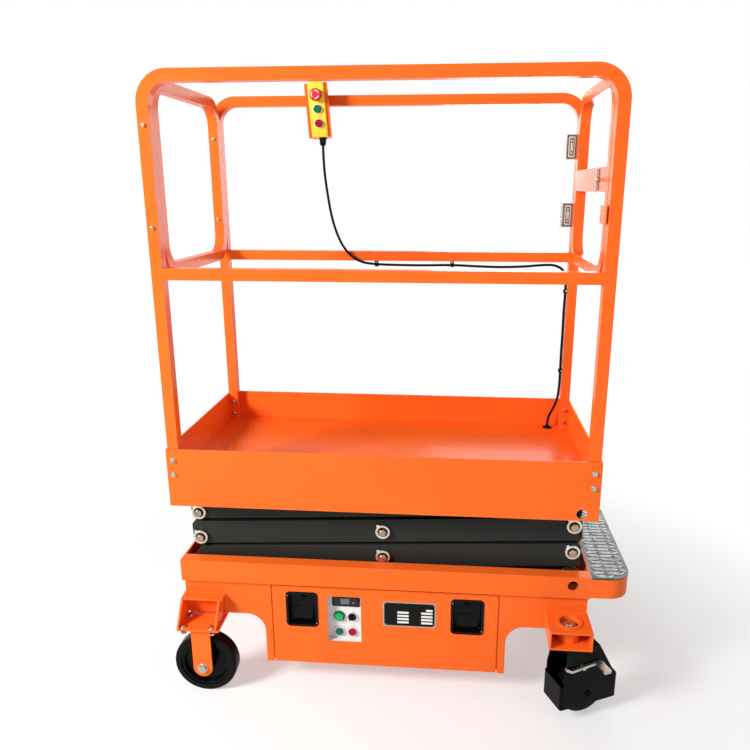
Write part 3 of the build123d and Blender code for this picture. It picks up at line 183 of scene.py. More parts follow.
def painted(name, colour, worn, roughness, gloss, radius, other=None, above=None):
    """Sprayed coat: faint clouds, orange peel, dust in the gloss and paler edges.

    Above a height it may change to another colour.
    """
    finish = Finish(name, Coat_Weight=0.05, Coat_Roughness=0.05, Specular_IOR_Level=gloss)
    cloud = finish.ramp(finish.noise(4.0, 4.0), (0.35, 0.0), (0.7, 1.0))
    dust = finish.ramp(finish.noise(60.0, 6.0, 0.7), (0.45, 0.0), (0.8, 1.0))
    body = finish.mix(cloud, colour, shaded(colour, 0.9))
    if other:
        body = finish.mix(finish.height() > above, body, other)
    body = finish.mix(finish.edges(radius * 1.3, 0.90, 0.985) * 0.4, body, worn)
    relief = finish.noise(420.0, 2.0)
    rough = roughness + cloud * 0.05 + dust * 0.06
    finish.feed(Base_Color=body, Roughness=rough, Normal=finish.bump(relief, ORANGE_PEEL, radius))
    return finish.material


def plated(name, colour, tint, roughness, radius):
    """Zinc or bright steel: faint brushing, blotches of passivation and darker fingerprints."""
    finish = Finish(name, Metallic=1.0)
    blotch = finish.ramp(finish.noise(35.0, 5.0, 0.65), (0.35, 0.0), (0.75, 1.0))
    grain = finish.noise(900.0, 2.0)
    body = finish.mix(blotch, colour, tint)
    rough = roughness + blotch * 0.12 + grain * 0.05
    finish.feed(Base_Color=body, Roughness=rough, Normal=finish.bump(grain, PLATE_GRAIN, radius))
    return finish.material


def moulded(name, colour, roughness, radius, gloss=0.4, glow=0.0):
    """Moulded plastic or rubber with a fine spark-eroded grain and slight fading."""
    finish = Finish(name, Specular_IOR_Level=gloss, Emission_Strength=glow)
    fade = finish.ramp(finish.noise(18.0, 4.0), (0.4, 0.0), (0.75, 1.0))
    grain = finish.noise(1500.0, 1.0)
    body = finish.mix(fade * 0.5, colour, shaded(colour, 1.3))
    if glow:
        finish.feed(Emission_Color=body)
    rough = roughness + fade * 0.08
    finish.feed(Base_Color=body, Roughness=rough, Normal=finish.bump(grain, MOULD_GRAIN, radius))
    return finish.material


ORANGE, ORANGE_WORN = srgb(252, 108, 36), srgb(255, 150, 86)
CHARCOAL, CHARCOAL_WORN = srgb(43, 45, 42), srgb(80, 82, 78)
# The floor of the scissor bay is orange, and its pivots and clevis are charcoal from this height.
PIVOT_FOOT = 0.014
BAY_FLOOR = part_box("floor_plate")[0].z + PIVOT_FOOT

orange_paint = painted("orange_paint", ORANGE, ORANGE_WORN, 0.24, 0.09, 0.0014)
charcoal_paint = painted("charcoal_paint", CHARCOAL, CHARCOAL_WORN, 0.40, 0.10, 0.0016)
bay_paint = painted("bay_paint", ORANGE, ORANGE_WORN, 0.34, 0.16, 0.0014, CHARCOAL, BAY_FLOOR)
black_coat = painted("black_coat", srgb(5, 5, 5), srgb(26, 26, 26), 0.18, 0.05, 0.0016)
zinc_plate = plated("zinc_plate", srgb(196, 194, 184), srgb(160, 155, 142), 0.22, 0.0005)
ring_plate = plated("ring_plate", srgb(226, 224, 216), srgb(196, 190, 180), 0.28, 0.0005)
dull_plate = plated("dull_plate", srgb(120, 114, 98), srgb(92, 86, 72), 0.34, 0.0005)
yellow_zinc = plated("yellow_zinc", srgb(190, 160, 134), srgb(150, 114, 96), 0.24, 0.0005)
hard_chrome = plated("hard_chrome", srgb(226, 228, 230), srgb(206, 208, 212), 0.08, 0.0005)
tread_plate = plated("tread_plate", srgb(78, 80, 79), srgb(54, 57, 58), 0.32, 0.0006)
# The raised bars take a lighter copy of the tread plate's metal: a painted highlight.
tread_bars_painted_highlight = plated("tread_bars_painted_highlight", srgb(124, 126, 124), srgb(78, 82, 82), 0.20, 0.0004)
solid_tyre = moulded("solid_tyre", srgb(8, 8, 8), 0.26, 0.0012, 0.10)
wheel_centre = moulded("wheel_centre", srgb(6, 6, 6), 0.20, 0.0012, 0.10)
black_moulding = moulded("black_moulding", srgb(8, 8, 9), 0.22, 0.0010, 0.12)
cable_sheath = moulded("cable_sheath", srgb(12, 10, 11), 0.42, 0.0002, 0.1)
nylon = moulded("nylon", srgb(222, 219, 208), 0.5, 0.0008)
yellow_case = moulded("yellow_case", srgb(250, 212, 62), 0.34, 0.0016, 0.25)
white_tray = moulded("white_tray", srgb(222, 220, 218), 0.42, 0.0006, 0.2)
white_ring = moulded("white_ring", srgb(238, 237, 232), 0.35, 0.0004)
stop_red = moulded("stop_red", srgb(214, 26, 34), 0.26, 0.0006)
button_red = moulded("button_red", srgb(164, 12, 34), 0.24, 0.0006, 0.2)
button_green = moulded("button_green", srgb(10, 100, 70), 0.24, 0.0006, 0.2)
lit_green = moulded("lit_green", srgb(20, 158, 88), 0.2, 0.0010, 0.25, glow=0.12)
display_glass = moulded("display_glass", srgb(14, 15, 17), 0.10, 0.0004)
display_window = moulded("display_window", srgb(96, 104, 104), 0.12, 0.0002)
plate_black = moulded("plate_black", srgb(12, 13, 13), 0.3, 0.0003, 0.12)
field_white = moulded("field_white", srgb(226, 226, 220), 0.4, 0.0003)
battery_case = moulded("battery_case", srgb(30, 31, 34), 0.5, 0.002)

SLOT_FINISH = {
    "orange": orange_paint,
    "charcoal": charcoal_paint,
    "black_steel": black_coat,
    "zinc": zinc_plate,
    "chrome_rod": hard_chrome,
    "chequer": tread_plate,
    "rubber": solid_tyre,
    "black_plastic": black_moulding,
    "nylon": nylon,
    "panel_white": white_tray,
    "switches": stop_red,
    "battery": battery_case,
    "yellow": yellow_case,
}
NODE_FINISH = {"rigid_rim_front": wheel_centre, "rigid_rim_back": wheel_centre, "floor_plate": bay_paint}

for part in frame["record"]["subparts"]:
    node = frame["nodes"][part["node"]]
    node.data.materials.clear()
    node.data.materials.append(NODE_FINISH.get(part["node"], SLOT_FINISH[part["material_slot"]]))


# Making pieces

def facing(axis):
    """Turn that takes +Z to an axis, and +X to the level direction across it where there is one."""
    axis = Vector(axis).normalized()
    if abs(axis.z) > 0.99:
        return Z.rotation_difference(axis).to_matrix().to_4x4()
    level = Z.cross(axis).normalized()
    return Matrix((level, axis.cross(level), axis)).transposed().to_4x4()


def add_object(name, data):
    obj = bpy.data.objects.new(name, data)
    bpy.context.scene.collection.objects.link(obj)
    return obj


# Edges are bevelled from the first angle and drawn sharp from the second.
BEVEL_ANGLE, SMOOTH_ANGLE = 0.6, math.radians(38)
BEVEL_PROFILE = 0.6


class Piece:
    """Mesh of one piece, gathered from turned, sawn and welded shapes."""

    def __init__(self):
        self.mesh = bmesh.new()

    def skin(self, rings):
        """Join rings of points, where a ring may also be a single point."""
        count = max(len(ring) for ring in rings)
        for low, high in zip(rings, rings[1:]):
            for step in range(count):
                corners = [
                    low[step % len(low)], low[(step + 1) % len(low)],
                    high[(step + 1) % len(high)], high[step % len(high)],
                ]
                corners = list(dict.fromkeys(corners))
                if len(corners) > 2:
                    self.mesh.faces.new(corners)
        return self

    def turned(self, profile, centre, axis, segments=32):
        """Shape turned on a lathe: radius and height pairs along the axis."""
        turn = Matrix.Translation(Vector(centre)) @ facing(axis)
        rings = []
        for radius, height in profile:
            angles = [2 * math.pi * step / segments for step in range(segments if radius > 1e-6 else 1)]
            points = [Vector((radius * math.cos(a), radius * math.sin(a), height)) for a in angles]
            rings.append([self.mesh.verts.new(turn @ point) for point in points])
        return self.skin(rings)

    def sawn(self, outline, centre, axis, thick, bevel=0.0, spin=0.0, segments=2):
        """Flat outline given thickness along an axis, with its edges rounded."""
        turn = Matrix.Translation(Vector(centre)) @ facing(axis) @ Matrix.Rotation(spin, 4, "Z")
        low = [self.mesh.verts.new(turn @ Vector((u, v, 0))) for u, v in outline]
        high = [self.mesh.verts.new(turn @ Vector((u, v, thick))) for u, v in outline]
        faces = [self.mesh.faces.new(low[::-1]), self.mesh.faces.new(high)]
        count = len(outline)
        for step in range(count):
            after = (step + 1) % count
            faces.append(self.mesh.faces.new((low[step], low[after], high[after], high[step])))
        if bevel:
            edges = dict.fromkeys(edge for face in faces for edge in face.edges)
            sharp = [edge for edge in edges if edge.calc_face_angle(0) > BEVEL_ANGLE]
            bmesh.ops.bevel(
                self.mesh, geom=sharp, offset=bevel, segments=segments, affect="EDGES",
                profile=BEVEL_PROFILE,
            )
        return self

    def pressed(self, steps, centre, axis):
        """Skin over rounded rectangles (width, height, corner, depth), closed at both ends."""
        turn = Matrix.Translation(Vector(centre)) @ facing(axis)
        rings = []
        for width, height, corner, depth in steps:
            outline = rounded_outline(width, height, corner)
            rings.append([self.mesh.verts.new(turn @ Vector((u, v, depth))) for u, v in outline])
        self.mesh.faces.new(rings[0])
        self.mesh.faces.new(rings[-1])
        return self.skin(rings)

    def block(self, low, high, bevel):
        """Box between two corners with rounded edges."""
        low, high = Vector(low), Vector(high)
        size = high - low
        outline = [(0, 0), (size.x, 0), (size.x, size.y), (0, size.y)]
        return self.sawn(outline, low, Z, size.z, bevel)

    def bolt(self, centre, axis, across, washer=True, spin=0.3):
        """Hexagon head with a chamfered crown on a flat washer."""
        axis = Vector(axis)
        seat = Vector(centre)
        if washer:
            rim = across * 0.68
            thick = across * 0.10
            disc = [(0, 0), (rim, 0), (rim, thick * 0.7), (rim * 0.96, thick), (0, thick)]
            self.turned(disc, seat, axis, 28)
            seat = seat + axis * thick
        height = across * 0.40
        self.sawn(hexagon(across), seat, axis, height, across * 0.05, spin, 1)
        crown = across * 0.45
        top = height + across * 0.03
        self.turned([(crown, height), (crown * 0.92, top), (0, top)], seat, axis, 24)
        return self

    def rivet(self, centre, axis, radius):
        """Low domed rivet or screw head."""
        dome = [(radius, 0.0)]
        for step in range(1, 5):
            angle = math.pi / 2 * step / 4
            dome.append((radius * math.cos(angle), radius * 0.55 * math.sin(angle)))
        return self.turned(dome, centre, axis, 16)

    def weld(self, corners, normal, radius=0.0024, step=0.0022):
        """Rippled weld bead along straight runs, lying on a face with this normal."""
        points = []
        for start, end in zip(corners, corners[1:]):
            start, end = Vector(start), Vector(end)
            count = max(2, round((end - start).length / step))
            points += [start.lerp(end, share / count) for share in range(count)]
        points.append(Vector(corners[-1]))
        rings = []
        for index, point in enumerate(points):
            along = points[min(index + 1, len(points) - 1)] - points[max(index - 1, 0)]
            across = along.normalized().cross(normal)
            swell = radius * (1.0 + 0.16 * math.cos(index * 2.1))
            if index in (0, len(points) - 1):
                swell *= 0.3
            angles = [math.pi / 4 * k for k in range(8)]
            rings.append([
                self.mesh.verts.new(point + swell * (math.cos(a) * across + 0.7 * math.sin(a) * normal))
                for a in angles
            ])
        self.mesh.faces.new(rings[0])
        self.mesh.faces.new(rings[-1])
        return self.skin(rings)

    def done(self, name, finish, body, slot, turn=None):
        """Turn the gathered shapes into an object that rides on a body."""
        if turn:
            bmesh.ops.transform(self.mesh, matrix=turn, verts=self.mesh.verts)
        bmesh.ops.recalc_face_normals(self.mesh, faces=self.mesh.faces)
        for edge in self.mesh.edges:
            edge.smooth = edge.calc_face_angle(3.0) < SMOOTH_ANGLE
        for face in self.mesh.faces:
            face.smooth = True
        data = bpy.data.meshes.new(name)
        self.mesh.to_mesh(data)
        self.mesh.free()
        data.materials.append(finish)
        obj = add_object(name, data)
        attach(obj, body)
        return obj


def hexagon(across):
    radius = across / math.sqrt(3)
    return [(radius * math.cos(math.pi / 3 * k), radius * math.sin(math.pi / 3 * k)) for k in range(6)]


def rounded_outline(width, height, radius, steps=6):
    """Rectangle with round corners, centred."""
    points = []
    for cx, cy, start in ((1, 1, 0), (-1, 1, 1), (-1, -1, 2), (1, -1, 3)):
        for step in range(steps + 1):
            angle = math.pi / 2 * (start + step / steps)
            points.append((
                cx * (width / 2 - radius) + radius * math.cos(angle),
                cy * (height / 2 - radius) + radius * math.sin(angle),
            ))
    return points


def arc_outline(inner, outer, start, end, steps=14):
    """Part of a flat ring between two angles."""
    angles = [start + (end - start) * step / steps for step in range(steps + 1)]
    outside = [(outer * math.cos(a), outer * math.sin(a)) for a in angles]
    inside = [(inner * math.cos(a), inner * math.sin(a)) for a in reversed(angles)]
    return outside + inside


JOINT_PLACE = {joint["name"]: Vector(joint["pos_m"]) for joint in frame["joints"] if "pos_m" in joint}
TUBE = 0.030
SIDES = {"front": -1, "back": 1}
PANEL_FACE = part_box("side_panels")[1].y
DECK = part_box("deck_plate")[1].z

# Control cable, on the same corner points as its solid

CABLE_D, CABLE_LENGTH = 0.008, 1.56
CABLE_ROUTE = [
    (-0.2625, 0.2180, 1.5850),
    (-0.2625, 0.2180, 1.5304),
    (-0.2545, 0.2220, 1.4503),
    (-0.2425, 0.2290, 1.3666),
    (-0.2215, 0.2350, 1.3000),
    (-0.1945, 0.2395, 1.2570),
    (-0.1565, 0.2430, 1.2290),
    (-0.1035, 0.2560, 1.2210),
    (-0.0214, 0.2590, 1.2190),
    (0.0584, 0.2595, 1.2188),
    (0.1404, 0.2590, 1.2210),
    (0.2185, 0.2600, 1.2170),
    (0.2966, 0.2600, 1.2150),
    (0.3683, 0.2595, 1.2175),
    (0.4286, 0.2590, 1.2235),
    (0.4665, 0.2585, 1.2240),
    (0.4950, 0.2585, 1.2089),
    (0.5035, 0.2580, 1.1788),
    (0.5040, 0.2580, 1.1412),
    (0.5030, 0.2580, 1.0682),
    (0.5040, 0.2585, 1.0002),
    (0.5030, 0.2585, 0.9377),
    (0.5040, 0.2580, 0.8780),
    (0.5040, 0.2570, 0.8260),
    (0.5000, 0.2555, 0.7790),
    (0.4875, 0.2530, 0.7464),
    (0.4710, 0.2500, 0.7159),
    (0.4710, 0.2500, 0.6900),
]
# Corner points that the saddles hold
RAIL_CLIPS = (7, 10)
LEG_CLIPS = (18, 22)
GLAND_NUT = 0.0216
SADDLE_HALF, SADDLE_R = 0.006, 0.0072


def lay_cable():
    """Round black cable from the control box's gland to the grommet on the deck."""
    curve = bpy.data.curves.new("control_cable_sheath", "CURVE")
    curve.dimensions = "3D"
    spline = curve.splines.new("NURBS")
    spline.points.add(len(CABLE_ROUTE) - 1)
    for point, place in zip(spline.points, CABLE_ROUTE):
        point.co = (*place, 1.0)
    spline.order_u = 3
    spline.use_endpoint_u = True
    curve.resolution_u = 10
    curve.bevel_depth = CABLE_D / 2
    curve.bevel_resolution = 5
    curve.use_fill_caps = True
    curve.materials.append(cable_sheath)
    cable = add_object("control_cable_sheath", curve)
    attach(cable, "platform")
    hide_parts("control_cable")


def fit_cable():
    """Gland nut and dome, saddles with their screws, and the boot where the cable enters the deck."""
    fittings, screws = Piece(), Piece()
    start, end = Vector(CABLE_ROUTE[0]), Vector(CABLE_ROUTE[-1])
    box_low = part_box("control_box")[0].z
    fittings.sawn(hexagon(GLAND_NUT), (start.x, start.y, box_low - 0.003), Z, 0.009, 0.001)
    dome = [(0.0046, 0.0), (0.0072, 0.001), (0.0098, 0.006), (0.0104, 0.012), (0.0104, 0.022), (0, 0.022)]
    fittings.turned(dome, start, Z, 28)
    fittings.turned([
        (0.0045, 0.0), (0.0062, -0.0008), (0.0075, -0.004), (0.0105, -0.006), (0.0150, -0.0075),
        (0.0158, -0.010),
    ], end, Z, 32)
    collar = [(0.0052, -SADDLE_HALF), (SADDLE_R, -0.0055), (SADDLE_R, 0.0055), (0.0052, SADDLE_HALF)]
    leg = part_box("guardrail_back")[1].x - TUBE
    for place in RAIL_CLIPS:
        x, y, z = CABLE_ROUTE[place]
        near, far = y - SADDLE_R, y + SADDLE_R
        fittings.turned(collar, (x, y, z), X, 24)
        fittings.block((x - SADDLE_HALF, near, z + 0.003), (x + SADDLE_HALF, far, z + 0.0119), 0.001)
        screws.rivet((x, near, z + 0.0080), -Y, 0.0028)
    for place in LEG_CLIPS:
        x, y, z = CABLE_ROUTE[place]
        near, far = y - SADDLE_R, y + SADDLE_R
        fittings.turned(collar, (x, y, z), Z, 24)
        fittings.block((x + 0.002, near, z - SADDLE_HALF), (leg, far, z + SADDLE_HALF), 0.0008)
        screws.rivet((leg - 0.003, near, z), -Y, 0.0026)
    fittings = fittings.done("cable_saddles_and_gland", black_moulding, "platform", "black_plastic")
    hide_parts("cable_fittings")
    screws.done("cable_saddle_screws", zinc_plate, "platform", "zinc")


lay_cable()
fit_cable()


# Operator's control box

BOX_TILT = math.radians(-4.2)
LID_W, LID_H, LID_T = 0.0445, 0.1535, 0.0012
LID_SCREW_U, LID_SCREW_V = 0.0185, 0.0725
STOP_Z, UP_Z, DOWN_Z = 0.040, 0.001, -0.040


def fit_control_box():
    """Lid, emergency stop with its turn marks, and the two push buttons in white bezels."""
    low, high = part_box("control_box")
    turn = Matrix.Translation((low + high) / 2) @ Matrix.Rotation(BOX_TILT, 4, "Y")
    face = (low.y - high.y) / 2
    lid = Piece().sawn(rounded_outline(LID_W, LID_H, 0.005), (0, face, 0), -Y, LID_T, 0.0005)
    lid.done("control_box_lid", yellow_case, "platform", "yellow", turn)
    screws = Piece()
    for u in (-LID_SCREW_U, LID_SCREW_U):
        for v in (-LID_SCREW_V, LID_SCREW_V):
            screws.rivet((u, face - LID_T, v), -Y, 0.0017)
    screws.done("control_box_screws", zinc_plate, "platform", "zinc", turn)

    stop = Piece().turned([
        (0.0145, 0.0012), (0.0145, 0.004), (0.0135, 0.0052), (0.0100, 0.0056), (0.0090, 0.0095),
        (0.0150, 0.0098), (0.0174, 0.0108), (0.0180, 0.0128), (0.0180, 0.0158), (0.0172, 0.0186),
        (0.0156, 0.0206), (0.0140, 0.0212), (0.0, 0.0214),
    ], (0, face, STOP_Z), -Y, 40)
    stop = stop.done("emergency_stop", stop_red, "platform", "switches", turn)
    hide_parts("control_buttons")
    marks = Piece()
    for third in range(3):
        start = math.radians(120 * third + 15)
        arc = arc_outline(0.0098, 0.0122, start, start + math.radians(82))
        marks.sawn(arc, (0, face - 0.0211, STOP_Z), -Y, 0.0006)
    marks.done("emergency_stop_marks", white_ring, "platform", "panel_white", turn)

    bezels = Piece()
    for height, finish, name in ((UP_Z, button_green, "up_button"), (DOWN_Z, button_red, "down_button")):
        spot = (0, face, height)
        bezels.turned([
            (0.0140, 0.0), (0.0140, 0.0036), (0.0134, 0.0052), (0.0124, 0.0058), (0.0118, 0.0052),
            (0.0118, 0.0020),
        ], spot, -Y, 36)
        cap = Piece().turned([
            (0.0113, 0.0020), (0.0113, 0.0088), (0.0106, 0.0102), (0.0, 0.0106),
        ], spot, -Y, 36)
        cap = cap.done(name, finish, "platform", "switches", turn)
        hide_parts("control_buttons")
    bezels.done("button_bezels", white_ring, "platform", "panel_white", turn)


fit_control_box()


# Bolts, washers, pins and welds

MID_RAIL_TOP = DECK + 0.583
# Bolts and nuts, across their flats
LEG_BOLT, END_RAIL_BOLT, PIN_BOLT, CASTOR_BOLT = 0.011, 0.009, 0.0205, 0.013
KINGPIN_NUT, AXLE_NUT = 0.0367, 0.016
# Their places: heights above the deck, and distances from the rigid wheel's axle
LEG_BOLT_LIFTS, END_RAIL_BOLT_LIFTS = (0.020, 0.062), (0.683, 0.927)
CASTOR_BOLT_X, CASTOR_BOLT_Y = (-0.0480, 0.0365), (-0.018, 0.042)
SKIRT_SHEET, BRACKET_PLATE, FORK_PLATE = 0.004, 0.006, 0.008
KINGPIN_END = 0.016
HOUSING_HALF = 0.045
WELD_INSET = 0.003


def bolt_platform():
    """Leg bolts through the skirts and the bolts that hold the end rail between the legs."""
    bolts, rail_bolts = Piece(), Piece()
    rail_low, rail_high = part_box("guardrail_front")
    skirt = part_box("skirt_sides")[1].y
    leg_inside = skirt - SKIRT_SHEET - TUBE
    leg_face = -rail_low.y
    loop_face = leg_face - 2 * TUBE
    left = rail_low.x + TUBE / 2
    right = rail_high.x - TUBE / 2
    for side in SIDES.values():
        outward, inward = (0, side, 0), (0, -side, 0)
        for x in (left, right):
            for lift in LEG_BOLT_LIFTS:
                z = DECK + lift
                bolts.bolt((x, side * skirt, z), outward, LEG_BOLT, spin=x + lift * 9)
                bolts.bolt((x, side * leg_inside, z), inward, LEG_BOLT, spin=lift * 7)
        for lift in END_RAIL_BOLT_LIFTS:
            z = DECK + lift
            rail_bolts.bolt((left, side * leg_face, z), outward, END_RAIL_BOLT, spin=lift)
            rail_bolts.bolt((left, side * loop_face, z), inward, END_RAIL_BOLT, spin=lift * 5)
    bolts.done("platform_bolts", zinc_plate, "platform", "zinc")
    rail_bolts.done("end_rail_bolts", yellow_zinc, "platform", "zinc")


def pin_places():
    """Body, x and z of every scissor pin that an inner pair of arms carries."""
    foot = JOINT_PLACE["scissor_lift"]
    first = JOINT_PLACE["outer_2_foot"]
    second = JOINT_PLACE["inner_3_foot"]
    middle_x = JOINT_PLACE["outer_1_cross"].x
    return [
        ("inner_1", middle_x, JOINT_PLACE["outer_1_cross"].z),
        ("inner_1", first.x, first.z),
        ("inner_2", foot.x, first.z),
        ("inner_2", middle_x, JOINT_PLACE["inner_2_cross"].z),
        ("inner_2", first.x, second.z),
        ("inner_3", foot.x, second.z),
        ("inner_3", middle_x, JOINT_PLACE["outer_3_cross"].z),
    ]


def cap_pins():
    """Retaining ring with its ear on every pin head, and the bolt that clamps the pin inside it."""
    rings, bolts = {}, {}
    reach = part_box("inner_arms_1")[1].y
    for body, x, z in pin_places():
        ring = rings.setdefault(body, Piece())
        bolt = bolts.setdefault(body, Piece())
        for side in SIDES.values():
            centre = Vector((x, side * reach, z))
            axis = Vector((0, side, 0))
            ring.turned([
                (0.0202, -0.0074), (0.0212, -0.0068), (0.0212, 0.0008), (0.0204, 0.0018), (0.0154, 0.0018),
                (0.0146, 0.0010), (0.0146, -0.0002),
            ], centre, axis, 44)
            ear = centre + Vector((0.0130 * side, 0, 0.0176)) - axis * 0.0040
            ring.sawn(rounded_outline(0.0090, 0.0100, 0.0030, 3), ear, axis, 0.0056, 0.0008, 0.6)
            bolt.bolt(centre, axis, PIN_BOLT, False, x * 7 + z * 3)
    for body, ring in rings.items():
        ring.done("pin_rings_" + body, ring_plate, body, "zinc")
        bolts[body].done("pin_bolts_" + body, yellow_zinc, body, "zinc")


def bolt_castors():
    """Plate bolts and nuts of the rigid castors, axle washers, and the swivel castors' kingpin nuts."""
    bolts = Piece()
    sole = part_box("rigid_brackets")[0].z
    for side, sign in SIDES.items():
        wheel = JOINT_PLACE["rigid_wheel_" + side + "_spin"]
        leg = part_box("rigid_forks")[1].y - abs(wheel.y)
        for dx in CASTOR_BOLT_X:
            for dy in CASTOR_BOLT_Y:
                spot = wheel.x + dx, wheel.y + sign * dy
                bolts.bolt((*spot, sole + BRACKET_PLATE), Z, CASTOR_BOLT, spin=dx * 30)
                bolts.bolt((*spot, sole - FORK_PLATE), -Z, CASTOR_BOLT, spin=dy * 30)
        washer = [(0.0085, 0), (0.0155, 0), (0.0155, 0.0016), (0.0150, 0.0022), (0.0085, 0.0022)]
        for way in (-1, 1):
            bolts.turned(washer, wheel + Y * way * leg, Y * way, 32)
        pin = JOINT_PLACE["swivel_" + side + "_turn"]
        seat = Vector((pin.x, pin.y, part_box("swivel_housing_" + side)[1].z - KINGPIN_END))
        nut = Piece().turned([
            (0.012, 0), (0.0242, 0), (0.0242, 0.0016), (0.0236, 0.0022), (0.012, 0.0022),
        ], seat, Z, 36)
        nut.sawn(hexagon(KINGPIN_NUT), seat + Z * 0.0022, Z, 0.0108, 0.0012, 0.4)
        nut.turned([(0.0118, 0.0128), (0.0118, 0.0160), (0.0104, 0.0172), (0, 0.0172)], seat, Z, 28)
        nut.done("kingpin_nut_" + side, zinc_plate, "swivel_" + side, "zinc")
    bolts.done("castor_bolts", zinc_plate, "base", "zinc")


def bolt_housings():
    """Axle nuts on the cheeks of the foot-guard housings, painted over."""
    for side in SIDES:
        wheel = JOINT_PLACE["swivel_wheel_" + side + "_spin"]
        pin = JOINT_PLACE["swivel_" + side + "_turn"]
        trail = Vector((wheel.x - pin.x, wheel.y - pin.y, 0)).normalized()
        across = Z.cross(trail)
        nuts = Piece()
        for way in (-1, 1):
            nuts.bolt(wheel + across * way * HOUSING_HALF, across * way, AXLE_NUT, spin=way)
        nuts.done("axle_nuts_" + side, black_coat, "swivel_" + side, "black_steel")


def weld_rails():
    """Beads above and below where the mid rails meet the legs."""
    beads = Piece()
    for side in SIDES:
        low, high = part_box("guardrail_" + side)
        for x in (low.x + TUBE, high.x - TUBE):
            for z in (MID_RAIL_TOP - TUBE, MID_RAIL_TOP):
                beads.weld([(x, low.y + WELD_INSET, z), (x, high.y - WELD_INSET, z)], X)
    beads.done("rail_welds", orange_paint, "platform", "orange")


def weld_brackets():
    """Beads where the castor brackets meet the side panels."""
    beads = Piece()
    low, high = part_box("rigid_brackets")
    box_low, box_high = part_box("swivel_brackets")
    panel_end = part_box("side_panels")[1].x
    box_top = box_high.z - 0.003
    for side in SIDES.values():
        y = side * PANEL_FACE
        beads.weld([
            (low.x, y, low.z + 0.004), (low.x, y, high.z), (high.x, y, high.z), (high.x, y, low.z + 0.004),
        ], Y)
        beads.weld([(box_low.x, y, box_low.z), (box_low.x, y, box_top), (panel_end - 0.004, y, box_top)], Y)
    beads.done("bracket_welds", orange_paint, "base", "orange")


bolt_platform()
cap_pins()
bolt_castors()
bolt_housings()
weld_rails()
weld_brackets()


# Step

def bar_step():
    """Raised bars of the five-bar tread, in groups that lean one way and the other."""
    low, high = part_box("step_plate")
    corner = 0.060
    margin = 0.011
    row_pitch, group_pitch, bar_pitch = 0.0190, 0.0400, 0.0068
    half = (high.y - low.y) / 2
    centre_y = (high.y + low.y) / 2
    bar = rounded_outline(0.0200, 0.0036, 0.0017, 3)

    def inside(x, y):
        reach = abs(y - centre_y)
        if x < low.x + margin or x > high.x - margin or reach > half - margin:
            return False
        dx, dy = x - (high.x - corner), reach - (half - corner)
        return dx < 0 or dy < 0 or math.hypot(dx, dy) < corner - margin

    bars = Piece()
    for row in range(int(2 * half / row_pitch)):
        y = low.y + row_pitch * (row + 0.6)
        for group in range(4):
            lean = math.pi / 4 if (row + group) % 2 else -math.pi / 4
            for step in range(5):
                x = low.x + 0.006 + group_pitch * group + bar_pitch * (step + 0.5)
                if inside(x, y):
                    bars.sawn(bar, (x, y, high.z - 0.0002), Z, 0.0014, 0.0005, lean, 1)
    # The bars' lighter finish is a painted highlight on the raised tread.
    bars.done("step_tread_bars", tread_bars_painted_highlight, "base", "chequer")


bar_step()


# Gate

def fit_gate():
    """Ribs and screws on the hinge leaves, and the bolt's knob on a black sheet on the gate's bar, a painted shade
    that stands for its slot.
    """
    low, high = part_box("gate_hinges")
    leaf_h = 0.072
    seats, ribs = Piece(), Piece()
    for z in (low.z + leaf_h / 2, high.z - leaf_h / 2):
        x = low.x + 0.021
        seats.sawn(rounded_outline(0.0260, 0.0680, 0.004), (x, low.y, z), -Y, 0.0008, 0.0003)
        ribs.sawn(rounded_outline(0.0200, 0.0610, 0.004), (x, low.y - 0.0006, z), -Y, 0.0012, 0.0005)
        seats.sawn(rounded_outline(0.0130, 0.0500, 0.003), (x, low.y - 0.0016, z), -Y, 0.0008, 0.0003)
        ribs.sawn(rounded_outline(0.0080, 0.0420, 0.003), (x, low.y - 0.0022, z), -Y, 0.0012, 0.0005)
        for dz in (-0.0140, 0.0140):
            seats.rivet((x, low.y - 0.0034, z + dz), -Y, 0.0030)
    seats.done("hinge_leaf_seats", dull_plate, "gate", "zinc")
    ribs.done("hinge_leaf_ribs", ring_plate, "gate", "zinc")

    bolt_low, bolt_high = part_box("gate_bolt")
    face = bolt_high.x
    z = (bolt_low.z + bolt_high.z) / 2
    y = (bolt_low.y + bolt_high.y) / 2 + 0.024
    # A flat black sheet on the bar's face stands for the slot's dark opening: painted shade.
    slot = Piece().sawn(rounded_outline(0.036, 0.054, 0.004), (face, y, z), -X, 0.0012, 0.0004)
    slot = slot.done("gate_bolt_slot_painted_shade", black_moulding, "gate", "black_plastic")
    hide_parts("gate_bolt")
    knob = Piece().turned([
        (0.0046, 0.0), (0.0046, 0.0040), (0.0070, 0.0050), (0.0082, 0.0075), (0.0082, 0.0100),
        (0.0068, 0.0125), (0.0036, 0.0136), (0.0, 0.0138),
    ], (face - 0.001, y - 0.040, z), -X, 28)
    knob = knob.done("gate_bolt_knob", zinc_plate, "gate", "zinc")
    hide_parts("gate_bolt")


fit_gate()


# Service door

NAME_PLATE_X, NAME_PLATE_Z, NAME_PLATE_T = 0.0390, 0.2605, 0.0011
FIELD_H, FIELD_T = 0.0066, 0.0002
FIELD_COLUMNS = (-0.0185, 0.0510)
FIELD_ROWS = (0.0068, -0.0042, -0.0147, -0.0255)
TRAY_FLANGE = 0.008
GLASS_FRONT = 0.0033
LATCH_W, LATCH_H, LATCH_INSET = 0.095, 0.114, 0.040
LATCH_LIP, LATCH_WALL = 0.005, 0.0025


